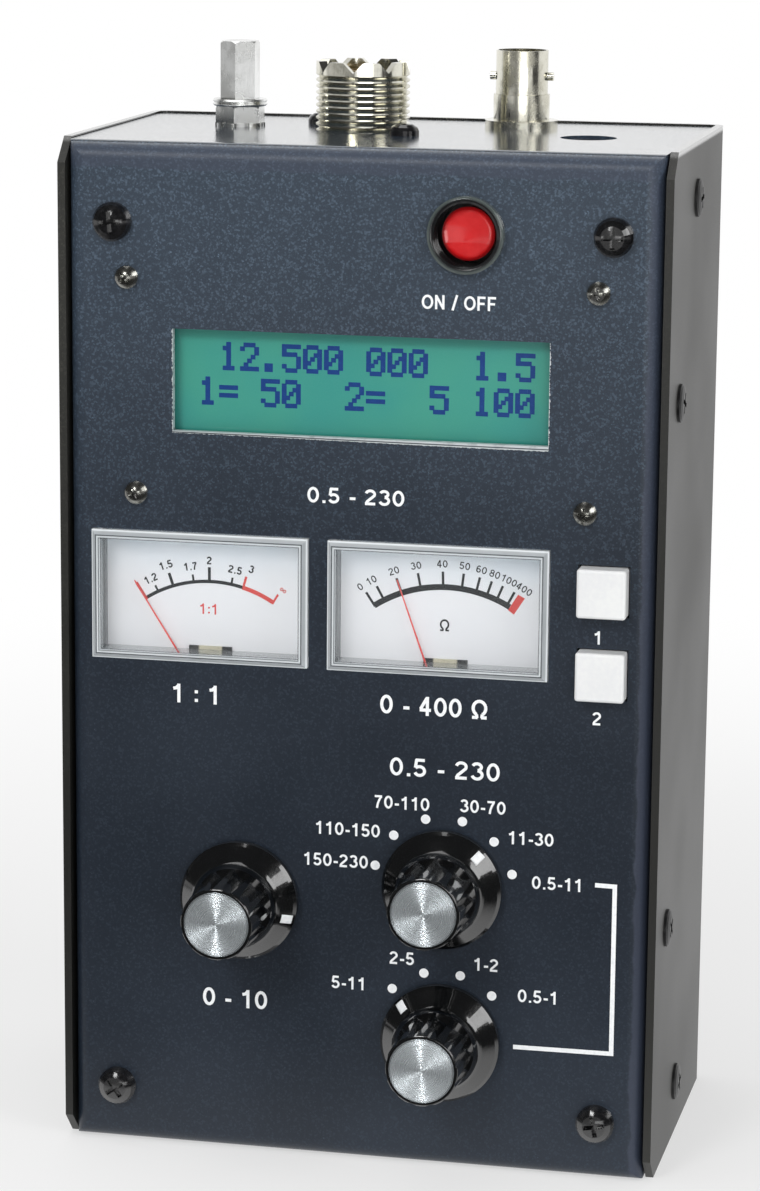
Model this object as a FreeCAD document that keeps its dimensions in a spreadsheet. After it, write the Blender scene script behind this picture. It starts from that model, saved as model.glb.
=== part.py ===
import FreeCAD, Part
import os
import re
import Sketcher
from FreeCAD import Placement, Rotation, Vector

# Handheld antenna analyzer.  Millimetres.  X to the right, Y to the back, Z up.
# The origin is under the middle of the case, on the surface that it stands on.
# Depths are counted from the front panel's face, heights from the case's foot.

# Driving sizes.  Every name has two words or more, so a formula can be told from a number.
SIZES = {
    # case
    "case_width": 101.6,
    "case_depth": 60.0,
    "case_height": 171.5,
    "cover_sheet": 1.3,
    "panel_sheet": 1.3,
    "bend_radius": 2.8,
    "side_gap": 0.3,
    "back_gap": 0.3,
    "cover_lip": 0.3,
    "corner_cut": 4.0,
    "return_depth": 18.0,
    "return_lip": 16.0,
    # clearances
    "hole_clearance": 0.1,
    "seat_clearance": 0.02,
    "running_clearance": 0.04,
    "window_clearance": 0.15,
    "button_clearance": 0.2,
    # screws
    "cover_screw_head": 3.15,
    "cover_screw_rise": 0.9,
    "cover_screw_shank": 1.75,
    "cover_screw_length": 6.0,
    "end_screw_inset": 9.4,
    "end_screw_setback": 27.2,
    "mid_screw_inset": 41.35,
    "mid_screw_setback": 12.1,
    "board_screw_head": 3.2,
    "board_screw_rise": 2.3,
    "board_screw_shank": 1.75,
    "board_screw_inset": 4.6,
    "board_screw_foot_inset": 5.7,
    "board_screw_lift": 0.35,
    "display_screw_head": 1.9,
    "display_screw_rise": 1.5,
    "display_screw_shank": 1.25,
    "display_screw_length": 5.0,
    "display_screw_top_span": 39.1,
    "display_screw_step": 1.5,
    "display_screw_top_inset": 2.2,
    "display_screw_foot_inset": 2.8,
    "spacer_wall": 1.2,
    # circuit board
    "board_standoff": 16.7,
    "board_thickness": 1.6,
    "board_side_gap": 1.9,
    "board_foot_gap": 2.9,
    "board_top_gap": 5.4,
    "press_nut_height": 2.4,
    "press_nut_wall": 1.4,
    "chip_height": 4.0,
    "chip_width": 7.0,
    "small_can_radius": 3.2,
    "small_can_height": 9.0,
    "large_can_radius": 4.0,
    "large_can_height": 11.5,
    "coil_radius": 5.0,
    "coil_wire_radius": 2.2,
    # display
    "window_half_width": 31.35,
    "window_height": 16.9,
    "display_standoff": 6.2,
    "display_foot_margin": 13.4,
    "display_top_margin": 10.4,
    "display_board_edge": 2.5,
    "frame_border": 4.6,
    "frame_sheet": 0.6,
    "frame_setback": 0.8,
    "frame_overlap": 1.2,
    # meters
    "meter_width": 36.85,
    "meter_height": 21.7,
    "meter_side_gap": 1.245,
    "meter_gap": 3.41,
    "lens_rise": 1.5,
    "lens_wall": 0.9,
    "lens_front": 1.3,
    "lens_bevel": 0.7,
    "meter_case_wall": 1.2,
    "meter_case_drop": 15.0,
    "meter_board_gap": 2.2,
    "dial_thickness": 0.5,
    "needle_setback": 5.8,
    "dial_gap": 1.2,
    "needle_clearance": 0.4,
    "needle_pivot_drop": 8.4,
    "needle_length": 24.2,
    "needle_width": 0.35,
    "needle_thickness": 0.25,
    "needle_hub": 1.6,
    "pivot_radius": 0.4,
    "pivot_reach": 0.6,
    "plate_half_width": 3.7,
    "plate_thickness": 0.4,
    "plate_rise": 1.2,
    "magnet_radius": 4.5,
    "magnet_thickness": 3.0,
    "bridge_half_height": 1.5,
    "bridge_inset": 1.0,
    "left_needle_turn": -32.5,
    "right_needle_turn": -19.7,
    # knobs and their shafts
    "skirt_radius": 10.1,
    "skirt_thickness": 1.7,
    "knob_height": 16.5,
    "knob_gap": 0.6,
    "flare_height": 4.6,
    "flare_round": 3.0,
    "grip_radius": 6.6,
    "grip_top_radius": 6.1,
    "under_radius": 7.2,
    "under_depth": 3.2,
    "flute_radius": 2.3,
    "flute_depth": 0.7,
    "flute_floor": 5.6,
    "knob_edge": 0.35,
    "skirt_edge": 0.5,
    "cap_radius": 5.5,
    "cap_thickness": 0.8,
    "cap_dish": 0.1,
    "cap_edge": 0.3,
    "shaft_radius": 3.0,
    "shaft_flat": 2.3,
    "shaft_flat_gap": 0.4,
    "shaft_end": 12.0,
    "shaft_tail": 8.0,
    "shaft_end_gap": 0.3,
    "bushing_radius": 3.5,
    "bushing_rise": 2.8,
    "control_nut_across": 10.0,
    "control_nut_height": 2.0,
    "tune_middle": -19.7,
    "tune_drop": 4.2,
    "band_middle": 15.0,
    "tune_pointer_turn": 107.0,
    "band_pointer_turn": 45.0,
    "low_band_pointer_turn": -45.0,
    "capacitor_half_width": 12.5,
    "capacitor_depth": 13.0,
    "switch_radius": 12.8,
    "switch_depth": 10.0,
    # push buttons
    "power_middle": 17.5,
    "bezel_rise": 1.5,
    "barrel_radius": 5.6,
    "barrel_wall": 0.45,
    "bezel_lip": 0.65,
    "barrel_depth": 5.5,
    "power_button_radius": 4.35,
    "power_button_sink": 1.0,
    "power_button_length": 4.6,
    "power_button_edge": 0.5,
    "power_dish_radius": 30.0,
    "power_dish_depth": 0.3,
    "power_well_room": 1.4,
    "power_bore_room": 1.0,
    "power_stem_radius": 1.5,
    "power_stem_length": 9.0,
    "power_switch_half_width": 6.1,
    "button_width": 8.1,
    "button_gap": 4.695,
    "button_side_gap": 2.75,
    "gate_drop": 6.3,
    "mode_lift": 1.6,
    "button_rise": 3.0,
    "button_depth": 3.2,
    "button_corner": 0.5,
    "button_stem_radius": 1.6,
    "button_stem_reach": 1.6,
    "button_switch_depth": 8.0,
    "stem_end_gap": 2.4,
    # antenna socket
    "antenna_middle": -7.4,
    "antenna_setback": 34.5,
    "antenna_thread_radius": 7.94,
    "antenna_thread_pitch": 1.058,
    "antenna_thread_depth": 0.6,
    "antenna_rise": 11.5,
    "antenna_bore_radius": 6.4,
    "antenna_bore_depth": 10.0,
    "antenna_flange_width": 25.4,
    "antenna_flange_thickness": 3.2,
    "antenna_screw_span": 9.1,
    "antenna_screw_head": 2.5,
    "antenna_screw_rise": 1.8,
    "antenna_screw_shank": 1.4,
    "antenna_notch_width": 3.4,
    "antenna_notch_depth": 1.7,
    "thread_start": 0.9,
    "antenna_tail_radius": 5.0,
    "antenna_tail_length": 5.0,
    "antenna_tail_wall": 1.0,
    "contact_radius": 2.7,
    "contact_bore_radius": 2.0,
    "contact_bore_depth": 9.5,
    "contact_drop": 1.5,
    "contact_tail_radius": 1.6,
    "contact_wall_foot": 1.0,
    "tail_pin_reach": 3.0,
    "insulator_rise": 1.2,
    # counter socket
    "counter_middle": 17.3,
    "counter_setback": 48.3,
    "counter_radius": 4.8,
    "counter_rise": 13.0,
    "counter_bore_radius": 4.1,
    "counter_bore_depth": 9.5,
    "counter_flange_radius": 6.25,
    "counter_flange_thickness": 1.2,
    "counter_lug_radius": 0.7,
    "counter_lug_span": 10.9,
    "counter_lug_height": 8.6,
    "counter_neck_depth": 0.35,
    "counter_shoulder": 5.6,
    "counter_tail_radius": 4.7,
    "counter_tail_length": 9.0,
    "counter_nut_across": 12.7,
    "counter_nut_height": 2.4,
    "counter_insulator_radius": 2.4,
    "counter_insulator_drop": 4.4,
    "counter_contact_radius": 1.1,
    "counter_contact_bore": 0.7,
    "counter_contact_depth": 4.0,
    # supply jack
    "jack_setback": 29.4,
    "jack_side_gap": 2.47,
    "jack_hole_radius": 4.7,
    "jack_half_width": 5.0,
    "jack_half_depth": 6.5,
    "jack_height": 12.0,
    "jack_bore_radius": 3.2,
    "jack_bore_depth": 9.5,
    "jack_pin_radius": 1.05,
    "jack_pin_drop": 1.5,
    # ground post
    "ground_middle": -29.2,
    "ground_setback": 36.0,
    "ground_stud_radius": 2.0,
    "ground_stud_rise": 9.5,
    "ground_head_radius": 3.8,
    "ground_head_height": 2.4,
    "lock_washer_radius": 4.3,
    "lock_washer_thickness": 0.6,
    "lock_tooth_depth": 1.0,
    "lock_tooth_half_gap": 0.45,
    "ground_nut_across": 7.5,
    "ground_nut_height": 2.8,
    "flat_washer_radius": 4.7,
    "flat_washer_thickness": 0.6,
    "flat_washer_edge": 0.3,
    "ground_post_across": 6.0,
    "ground_corner_cut": 0.35,
    "ground_post_height": 9.7,
    "ground_post_room": 1.0,
    "ground_hex_turn": 30.0,
    # batteries
    "cell_radius": 7.1,
    "cell_length": 49.2,
    "cell_nub_radius": 2.75,
    "cell_nub_height": 1.3,
    "cell_gap": 0.4,
    "tray_wall": 1.3,
    "tray_floor": 1.5,
    "tray_screw_head": 2.4,
    "tray_screw_rise": 1.0,
    "tray_screw_shank": 1.4,
    "tray_screw_length": 3.4,
    "tray_screw_span": 25.0,
    "tray_foot_height": 3.2,
    "tray_back_room": 0.5,
    # gaps of the column of controls, meters, display and power button, from the foot up
    "low_band_gap": 8.10,
    "band_gap": 1.0,
    "meter_foot_gap": 7.18,
    "display_gap": 2.38,
    "power_gap": 0.4,
    "power_top_gap": 6.00,
}

# Sizes that follow from the ones above.  The gaps of a row share out, in proportion, what
# its pieces leave of the case, so that each piece stays clear of the next.
FOLLOWING = {
    "inside_half_width": "case_width / 2 - cover_sheet - side_gap - panel_sheet",
    "inner_bend_radius": "bend_radius - panel_sheet",
    "return_corner": "(bend_radius - cover_sheet) * 0.4",
    "row_spread": "(2 * inside_half_width - inner_bend_radius - 2 * meter_width"
                  " - button_switch_width)"
                  " / (meter_side_gap + meter_gap + button_gap + button_side_gap)",
    "left_meter_middle": "inner_bend_radius + meter_side_gap * row_spread + meter_width / 2"
                         " - inside_half_width",
    "right_meter_middle": "left_meter_middle + meter_width + meter_gap * row_spread",
    "button_switch_width": "button_width + 2 * button_clearance",
    "button_middle": "inside_half_width - button_side_gap * row_spread - button_switch_width / 2",
    "meter_case_height": "meter_height + meter_case_drop + 2 * meter_case_wall"
                         " + 2 * seat_clearance",
    "display_board_height": "display_foot_margin + window_height + display_top_margin",
    "column_spread": "(case_height - 2 * cover_lip - 2 * panel_sheet - 4 * switch_radius"
                     " - meter_case_height - display_board_height"
                     " - 2 * power_switch_half_width)"
                     " / (low_band_gap + band_gap + meter_foot_gap + display_gap + power_gap"
                     " + power_top_gap)",
    "low_band_height": "cover_lip + panel_sheet + low_band_gap * column_spread + switch_radius",
    "band_height": "low_band_height + band_gap * column_spread + 2 * switch_radius",
    "tune_height": "band_height - tune_drop",
    "meter_foot": "band_height + switch_radius + meter_foot_gap * column_spread"
                  " + meter_case_wall + seat_clearance + meter_case_drop",
    "gate_height": "meter_foot + meter_height - gate_drop",
    "mode_height": "meter_foot + mode_lift",
    "display_board_foot": "meter_foot + meter_height + meter_case_wall + seat_clearance"
                          " + display_gap * column_spread",
    "window_foot": "display_board_foot + display_foot_margin",
    "window_top": "window_foot + window_height",
    "display_board_top": "window_top + display_top_margin",
    "display_board_half_width": "display_screw_top_span + display_board_edge",
    "display_screw_foot_span": "display_screw_top_span - display_screw_step",
    "display_screw_top": "display_board_top - display_screw_top_inset",
    "display_screw_foot": "display_board_foot + display_screw_foot_inset",
    "power_height": "display_board_top + power_gap * column_spread + power_switch_half_width",
    "board_half_width": "inside_half_width - board_side_gap",
    "board_foot": "cover_lip + panel_sheet + board_foot_gap",
    "board_top": "case_height - cover_lip - panel_sheet - board_top_gap",
    "board_screw_half_span": "board_half_width - board_screw_inset",
    "board_screw_low": "board_foot + board_screw_foot_inset",
    "board_screw_high": "power_height + board_screw_lift",
    "lens_depth": "needle_setback - needle_clearance",
    "dial_setback": "needle_setback + dial_gap",
    "meter_case_depth": "board_standoff - meter_board_gap",
    "bezel_radius": "barrel_radius + bezel_lip",
    "button_stem_length": "board_standoff + panel_sheet - button_switch_depth"
                          " + button_stem_reach - button_depth",
    "jack_middle": "counter_middle + counter_nut_across / sqrt(3) + jack_side_gap"
                   " + jack_half_width",
    "tray_depth": "tray_floor + 2 * cell_radius + tray_back_room",
}

# Whole counts.
FLUTE_COUNT = 12
NOTCH_COUNT = 8
THREAD_RING_COUNT = 9
TOOTH_COUNT = 12
CELL_COLUMN_COUNT = 5
CELL_ROW_COUNT = 2

# Angles of the screws' recesses, in degrees.
BOARD_SCREW_ANGLES = (35, 10, 5, 0)
DISPLAY_SCREW_ANGLES = (20, 0, 40, 5)
COVER_SCREW_ANGLES = (20, 45, 70, 95)
ANTENNA_SCREW_ANGLES = (10, 40)

# Board parts: middle across and up as shares of the board's half width and height, then
# the chips' lengths and the sizes of the cans.
CHIPS = ((-0.391, 0.847, 25.0), (0.304, 0.709, 20.0), (-0.478, 0.572, 36.0),
         (0.435, 0.497, 18.0), (-0.130, 0.359, 24.0))
LARGE_CAN = ("large_can_radius", "large_can_height")
SMALL_CAN = ("small_can_radius", "small_can_height")
CANS = ((0.739, 0.784, LARGE_CAN), (0.522, 0.884, SMALL_CAN), (-0.783, 0.409, LARGE_CAN))
COILS = ((-0.717, 0.709), (0.696, 0.347))

# Places worked out from the driving sizes, as formulas for the document's expressions.
FRONT = "(-case_depth / 2)"
PANEL_BACK = f"({FRONT} + panel_sheet)"
COVER_INSIDE = "(case_width / 2 - cover_sheet)"
PANEL_HALF = f"({COVER_INSIDE} - side_gap)"
CHASSIS_FOOT = "(cover_lip)"
CHASSIS_TOP = "(case_height - cover_lip)"
CHASSIS_REAR = "(case_depth / 2 - cover_sheet - back_gap)"
TOP_INSIDE = f"({CHASSIS_TOP} - panel_sheet)"
FLOOR_INSIDE = f"({CHASSIS_FOOT} + panel_sheet)"
BOARD_FRONT = f"({PANEL_BACK} + board_standoff)"
BOARD_BACK = f"({BOARD_FRONT} + board_thickness)"
DISPLAY_BOARD_FRONT = f"({PANEL_BACK} + display_standoff)"
METER_TOP = "(meter_foot + meter_height)"
LENS_BACK = f"({FRONT} + lens_depth)"
CUT_REACH = "(panel_sheet + bend_radius)"

doc = FreeCAD.newDocument("AntennaAnalyzer")
pieces = []


def fill_sheet():
    sheet = doc.addObject("Spreadsheet::Sheet", "Sizes")
    formulas = {alias: "=" + formula for alias, formula in FOLLOWING.items()}
    for row, alias in enumerate([*SIZES, *FOLLOWING], start=1):
        sheet.set(f"A{row}", alias.replace("_", " "))
        sheet.setAlias(f"B{row}", alias)
    for row, value in enumerate([*SIZES.values(), *formulas.values()], start=1):
        sheet.set(f"B{row}", str(value))
    doc.recompute()
    return sheet


# ---------------------------------------------------------------- formulas

def size(alias):
    """The number that the sheet holds for a size."""
    return float(doc.Sizes.get(alias))


def sized(formula):
    """The formula with each size's name pointing into the sheet."""
    return re.sub(r"[a-z]+(?:_[a-z]+)+", lambda word: "Sizes." + word.group(0), str(formula))


def bind(thing, **formulas):
    for name, formula in formulas.items():
        thing.setExpression(name, sized(formula))
    return thing


def place(thing, x=0, y=0, z=0, turn=None):
    """Puts a thing at formulas for X, Y and Z; turn is an angle about its own axis."""
    for axis, formula in zip("xyz", (x, y, z)):
        thing.setExpression("Placement.Base." + axis, sized(formula))
    if turn is not None:
        thing.setExpression("Placement.Rotation.Angle", sized(turn))
    return thing


# Rotations that lay a cylinder's own Z along another axis.
ALONG = {
    "X": Rotation(Vector(0, 1, 0), 90),
    "Y": Rotation(Vector(1, 0, 0), -90),
    "Z": Rotation(),
}


# ---------------------------------------------------------------- primitives

def block(name, x, y, z):
    """A box between pairs of formulas, low and high, on each axis."""
    box = doc.addObject("Part::Box", name)
    bind(box, Length=f"{x[1]} - {x[0]}", Width=f"{y[1]} - {y[0]}", Height=f"{z[1]} - {z[0]}")
    return place(box, x[0], y[0], z[0])


def centred(name, middle, half, y, z):
    """A box that is symmetrical about a formula for X."""
    return block(name, (f"({middle} - {half})", f"({middle} + {half})"), y, z)


def rod(name, axis, middle, span, radius):
    """A cylinder along an axis, middle being its other two coordinates in order."""
    cylinder = doc.addObject("Part::Cylinder", name)
    return lay(cylinder, axis, middle, span, Radius=radius)


def cone(name, axis, middle, span, low_radius, high_radius):
    shape = doc.addObject("Part::Cone", name)
    return lay(shape, axis, middle, span, Radius1=low_radius, Radius2=high_radius)


def hexagon(name, axis, middle, span, across):
    prism = doc.addObject("Part::Prism", name)
    prism.Polygon = 6
    return lay(prism, axis, middle, span, Circumradius=f"{across} / sqrt(3)")


def lay(shape, axis, middle, span, **formulas):
    shape.Placement = Placement(Vector(), ALONG[axis])
    bind(shape, Height=f"{span[1]} - {span[0]}", **formulas)
    first, second = middle
    where = {"X": (span[0], first, second), "Y": (first, span[0], second),
             "Z": (first, second, span[0])}
    return place(shape, *where[axis])


def fuse(name, *parts):
    union = doc.addObject("Part::MultiFuse", name)
    union.Shapes = list(parts)
    return union


def cut(name, base, *tools):
    result = doc.addObject("Part::Cut", name)
    result.Base = base
    result.Tool = tools[0] if len(tools) == 1 else fuse(name + "_tools", *tools)
    return result


def group(name, parts):
    """Separate solids that make one sub-part, such as a set of equal screws."""
    compound = doc.addObject("Part::Compound", name)
    compound.Links = list(parts)
    return compound


def copy(form, name, x=0, y=0, z=0, rotation=Rotation()):
    """Another of a form that is drawn once, at its own place."""
    link = doc.addObject("App::Link", name)
    link.LinkedObject = form
    link.Placement = Placement(Vector(), rotation)
    return place(link, x, y, z)


def piece(shape, label):
    """Marks a finished sub-part; its label is its name."""
    shape.Label = label
    pieces.append(shape)
    return shape


# ---------------------------------------------------------------- bodies and sketches

def new_body(name):
    return doc.addObject("PartDesign::Body", name)


def origin_part(body, role):
    return next(item for item in body.Origin.OriginFeatures if item.Role == role)


def new_sketch(body, plane, offset=None):
    """A sketch on one of the body's own planes; offset is a formula along its normal."""
    sketch = body.newObject("Sketcher::SketchObject", body.Name + "_sketch")
    sketch.AttachmentSupport = (origin_part(body, plane + "_Plane"), "")
    sketch.MapMode = "FlatFace"
    if offset is not None:
        sketch.setExpression("AttachmentOffset.Base.z", sized(offset))
    return sketch


def constrain(sketch, formula, kind, *where):
    index = sketch.addConstraint(Sketcher.Constraint(kind, *where, 1.0))
    sketch.setExpression(f"Constraints[{index}]", sized(formula))


def outline(sketch, points):
    """A closed outline of straight lines through points given as formulas."""
    first = sketch.GeometryCount
    count = len(points)
    corners = [Vector(step % 7, step // 7 + 0.3 * (step % 3), 0) for step in range(count)]
    for step in range(count):
        sketch.addGeometry(Part.LineSegment(corners[step], corners[(step + 1) % count]), False)
    for step in range(count):
        following = first + (step + 1) % count
        sketch.addConstraint(Sketcher.Constraint("Coincident", first + step, 2, following, 1))
    for step, (across, up) in enumerate(points):
        constrain(sketch, across, "DistanceX", -1, 1, first + step, 1)
        constrain(sketch, up, "DistanceY", -1, 1, first + step, 1)
    return sketch


def rectangle(sketch, across, up):
    corners = [(across[0], up[0]), (across[1], up[0]), (across[1], up[1]), (across[0], up[1])]
    return outline(sketch, corners)


def circle(sketch, across, up, radius):
    index = sketch.addGeometry(Part.Circle(Vector(1, 1, 0), Vector(0, 0, 1), 1.0), False)
    constrain(sketch, across, "DistanceX", -1, 1, index, 3)
    constrain(sketch, up, "DistanceY", -1, 1, index, 3)
    constrain(sketch, radius, "Radius", index)
    return sketch


def feature(body, kind, sketch, **formulas):
    item = body.newObject("PartDesign::" + kind, f"{body.Name}_{kind}")
    item.Profile = sketch
    bind(item, **formulas)
    return item


def pad(body, sketch, length, reverse=False):
    item = feature(body, "Pad", sketch, Length=length)
    item.Reversed = reverse
    doc.recompute()
    return item


def pocket(body, sketch, length, reverse=False):
    """A pocket that must take something away."""
    before = body.Shape.Volume
    item = feature(body, "Pocket", sketch, Length=length)
    item.Reversed = reverse
    return removed(body, item, before)


def pocket_through(body, sketch):
    before = body.Shape.Volume
    item = feature(body, "Pocket", sketch)
    item.Type = "ThroughAll"
    item.Midplane = True
    return removed(body, item, before)


def removed(body, item, before):
    doc.recompute()
    if not body.Shape.Volume < before:
        raise RuntimeError(f"{item.Name} cuts nothing")
    return item


def spin(body, kind, sketch, axis):
    """A Revolution or a Groove right round one of the sketch's axes."""
    item = feature(body, kind, sketch)
    item.ReferenceAxis = (sketch, [axis])
    item.Angle = 360
    doc.recompute()
    return item


def polar(body, original, axis, count):
    pattern = body.newObject("PartDesign::PolarPattern", body.Name + "_polar")
    pattern.Originals = [original]
    pattern.Axis = (origin_part(body, axis + "_Axis"), [""])
    pattern.Angle = 360
    pattern.Occurrences = count
    body.Tip = pattern
    doc.recompute()
    return pattern


def linear(body, original, axis, length, count):
    pattern = body.newObject("PartDesign::LinearPattern", body.Name + "_linear")
    pattern.Originals = [original]
    pattern.Direction = (origin_part(body, axis + "_Axis"), [""])
    pattern.Occurrences = count
    bind(pattern, Length=length)
    body.Tip = pattern
    doc.recompute()
    return pattern


def soften(body, kind, size, wanted):
    """A Fillet or a Chamfer on the tip's edges that the test wants."""
    base = body.Tip
    box = base.Shape.BoundBox
    edges = [f"Edge{number}" for number, edge in enumerate(base.Shape.Edges, start=1)
             if wanted(edge.BoundBox, box)]
    item = body.newObject("PartDesign::" + kind, f"{body.Name}_{kind}")
    item.Base = (base, edges)
    bind(item, **{"Radius" if kind == "Fillet" else "Size": size})
    doc.recompute()
    return item


def same(first, second):
    return abs(first - second) < 1e-4


def on_front(edge, box):
    return same(edge.YMax, box.YMin)


# ---------------------------------------------------------------- screws

def screw_form(name, head, rise, shank, length):
    """A pan head screw with a cross recess, head up on Z, seat at the origin."""
    body = new_body(name)
    profile = outline(new_sketch(body, "XZ"), [
        (0, f"-{length}"), (f"{shank} * 0.8", f"-{length}"), (shank, f"{shank} * 0.4 - {length}"),
        (shank, 0), (head, 0), (head, f"{rise} * 0.45"), (f"{head} * 0.88", f"{rise} * 0.75"),
        (f"{head} * 0.6", rise), (0, rise)])
    spin(body, "Revolution", profile, "V_Axis")
    cross_recess(body, head, rise, rise)
    return body


def flat_screw_form(name, head, rise, shank, length):
    """A countersunk screw with a cross recess, head up on Z, its flat top at the origin."""
    body = new_body(name)
    profile = outline(new_sketch(body, "XZ"), [
        (0, f"-{length}"), (shank, f"-{length}"), (shank, f"-{rise}"), (head, 0), (0, 0)])
    spin(body, "Revolution", profile, "V_Axis")
    cross_recess(body, head, rise, "0")
    return body


def cross_recess(body, head, rise, top):
    arm, half = f"{head} * 0.55", f"{head} * 0.12"
    for across, up in ((arm, half), (half, arm)):
        recess = rectangle(new_sketch(body, "XY", top), (f"-{across}", across), (f"-{up}", up))
        pocket(body, recess, f"{rise} * 0.5")


def front_screws(form, name, middles, spins):
    """Copies of a screw in the front panel, each with its recess at its own angle."""
    facing = Rotation(Vector(1, 0, 0), 90)
    copies = []
    for number, ((across, up), turned) in enumerate(zip(middles, spins)):
        rotation = facing * Rotation(Vector(0, 0, 1), turned)
        copies.append(copy(form, f"{name}_{number}", across, FRONT, up, rotation))
    return piece(group(name, copies), name)


BOARD_SCREWS = [(f"{side}board_screw_half_span", up)
                for up in ("board_screw_low", "board_screw_high") for side in ("-", "")]
DISPLAY_SCREWS = [(f"{side}{span}", up)
                  for span, up in (("display_screw_foot_span", "display_screw_foot"),
                                   ("display_screw_top_span", "display_screw_top"))
                  for side in ("-", "")]
COVER_SCREWS = [("end_screw_setback", "end_screw_inset"),
                ("mid_screw_setback", "mid_screw_inset"),
                ("mid_screw_setback", "(case_height - mid_screw_inset)"),
                ("end_screw_setback", "(case_height - end_screw_inset)")]
TRAY_SCREW_Y = "(case_depth / 2 - cover_sheet - tray_depth / 2)"
ANTENNA_Y = f"({FRONT} + antenna_setback)"
ANTENNA_SCREWS = [(f"(antenna_middle {sign} antenna_screw_span)",
                   f"({ANTENNA_Y} {other} antenna_screw_span)")
                  for sign, other in (("+", "-"), ("-", "+"))]


def make_cover_screws():
    form = screw_form("CoverScrewForm", "cover_screw_head", "cover_screw_rise",
                      "cover_screw_shank", "cover_screw_length")
    copies = []
    for side, turn in (("", 90), ("-", -90)):
        for number, (setback, up) in enumerate(COVER_SCREWS):
            recess = Rotation(Vector(0, 0, 1), COVER_SCREW_ANGLES[number])
            rotation = Rotation(Vector(0, 1, 0), turn) * recess
            name = f"cover_screw_{'right' if side == '' else 'left'}_{number}"
            copies.append(copy(form, name, f"{side}(case_width / 2)", f"{FRONT} + {setback}",
                               up, rotation))
    piece(group("CoverScrews", copies), "cover_screws")


def make_front_screws():
    board_form = screw_form("BoardScrewForm", "board_screw_head", "board_screw_rise",
                            "board_screw_shank",
                            "(panel_sheet + board_standoff + board_thickness"
                            " + press_nut_height)")
    front_screws(board_form, "board_screws", BOARD_SCREWS, BOARD_SCREW_ANGLES)
    display_form = screw_form("DisplayScrewForm", "display_screw_head", "display_screw_rise",
                              "display_screw_shank", "display_screw_length")
    front_screws(display_form, "display_screws", DISPLAY_SCREWS, DISPLAY_SCREW_ANGLES)


def spacers(name, middles, shank, length):
    """Round spacers between the panel and a board, bored for their screws."""
    tubes = []
    bore = f"{shank} + seat_clearance"
    for number, middle in enumerate(middles):
        span = (PANEL_BACK, f"({PANEL_BACK} + {length})")
        outside = rod(f"{name}_wall_{number}", "Y", middle, span, f"{bore} + spacer_wall")
        inside = rod(f"{name}_bore_{number}", "Y", middle, span, bore)
        tubes.append(cut(f"{name}_{number}", outside, inside))
    piece(group(name, tubes), name)


# ---------------------------------------------------------------- case

def make_front_panel():
    body = new_body("FrontPanel")
    face = rectangle(new_sketch(body, "XZ", f"-{FRONT}"),
                     (f"-{PANEL_HALF}", PANEL_HALF), (CHASSIS_FOOT, CHASSIS_TOP))
    pad(body, face, f"{CHASSIS_REAR} - {FRONT}", reverse=True)
    soften(body, "Fillet", "bend_radius", on_front)
    inside = rectangle(new_sketch(body, "XZ", f"-{CHASSIS_REAR}"),
                       (f"-({PANEL_HALF} - panel_sheet)", f"{PANEL_HALF} - panel_sheet"),
                       (FLOOR_INSIDE, TOP_INSIDE))
    pocket(body, inside, f"{CHASSIS_REAR} - {PANEL_BACK}", reverse=True)
    soften_inside(body)
    sides = rectangle(new_sketch(body, "YZ"), (f"{FRONT} + return_depth", "case_depth"),
                      (f"{CHASSIS_FOOT} + return_lip", f"{CHASSIS_TOP} - return_lip"))
    pocket_through(body, sides)
    soften(body, "Chamfer", "return_corner",
           lambda edge, box: edge.ZLength > 1 and edge.YMin > box.YMax - 1e-4
           and same(abs(edge.XMin), box.XMax))
    cut_front(body)
    cut_ends(body)
    tapped = new_sketch(body, "YZ")
    for setback, up in COVER_SCREWS:
        circle(tapped, f"{FRONT} + {setback}", up, "cover_screw_shank + seat_clearance")
    pocket_through(body, tapped)
    sinks = [cone(f"tray_sink_{number}", "Z", (f"{side}tray_screw_span", TRAY_SCREW_Y),
                  (CHASSIS_FOOT, f"({CHASSIS_FOOT} + tray_screw_rise)"),
                  "tray_screw_head + hole_clearance", "tray_screw_shank + hole_clearance")
             for number, side in enumerate(("-", ""))]
    piece(cut("SunkFrontPanel", body, *sinks), "front_panel")


def soften_inside(body):
    """The inner side of the four bends round the front face."""
    inner_front = min(face.BoundBox.YMin for face in body.Tip.Shape.Faces
                      if face.BoundBox.YLength < 1e-4
                      and face.BoundBox.YMin > body.Tip.Shape.BoundBox.YMin + 1e-3)
    soften(body, "Fillet", "inner_bend_radius",
           lambda edge, box: edge.YLength < 1e-4 and same(edge.YMin, inner_front))


def cut_front(body):
    """Window, meter, button, control and screw holes in the front face."""
    holes = new_sketch(body, "XZ", f"-{FRONT}")
    rectangle(holes, ("-window_half_width", "window_half_width"), ("window_foot", "window_top"))
    for middle in ("left_meter_middle", "right_meter_middle"):
        half = "(meter_width / 2 + window_clearance)"
        rectangle(holes, (f"{middle} - {half}", f"{middle} + {half}"),
                  ("meter_foot - window_clearance", f"{METER_TOP} + window_clearance"))
    for up in ("gate_height", "mode_height"):
        half = "(button_width / 2 + button_clearance)"
        rectangle(holes, (f"button_middle - {half}", f"button_middle + {half}"),
                  (f"{up} - {half}", f"{up} + {half}"))
    circle(holes, "power_middle", "power_height", "barrel_radius + hole_clearance")
    for across, up in CONTROLS:
        circle(holes, across, up, "bushing_radius + hole_clearance")
    for across, up in BOARD_SCREWS:
        circle(holes, across, up, "board_screw_shank + hole_clearance")
    for across, up in DISPLAY_SCREWS:
        circle(holes, across, up, "display_screw_shank + hole_clearance")
    pocket(body, holes, CUT_REACH)


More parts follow.
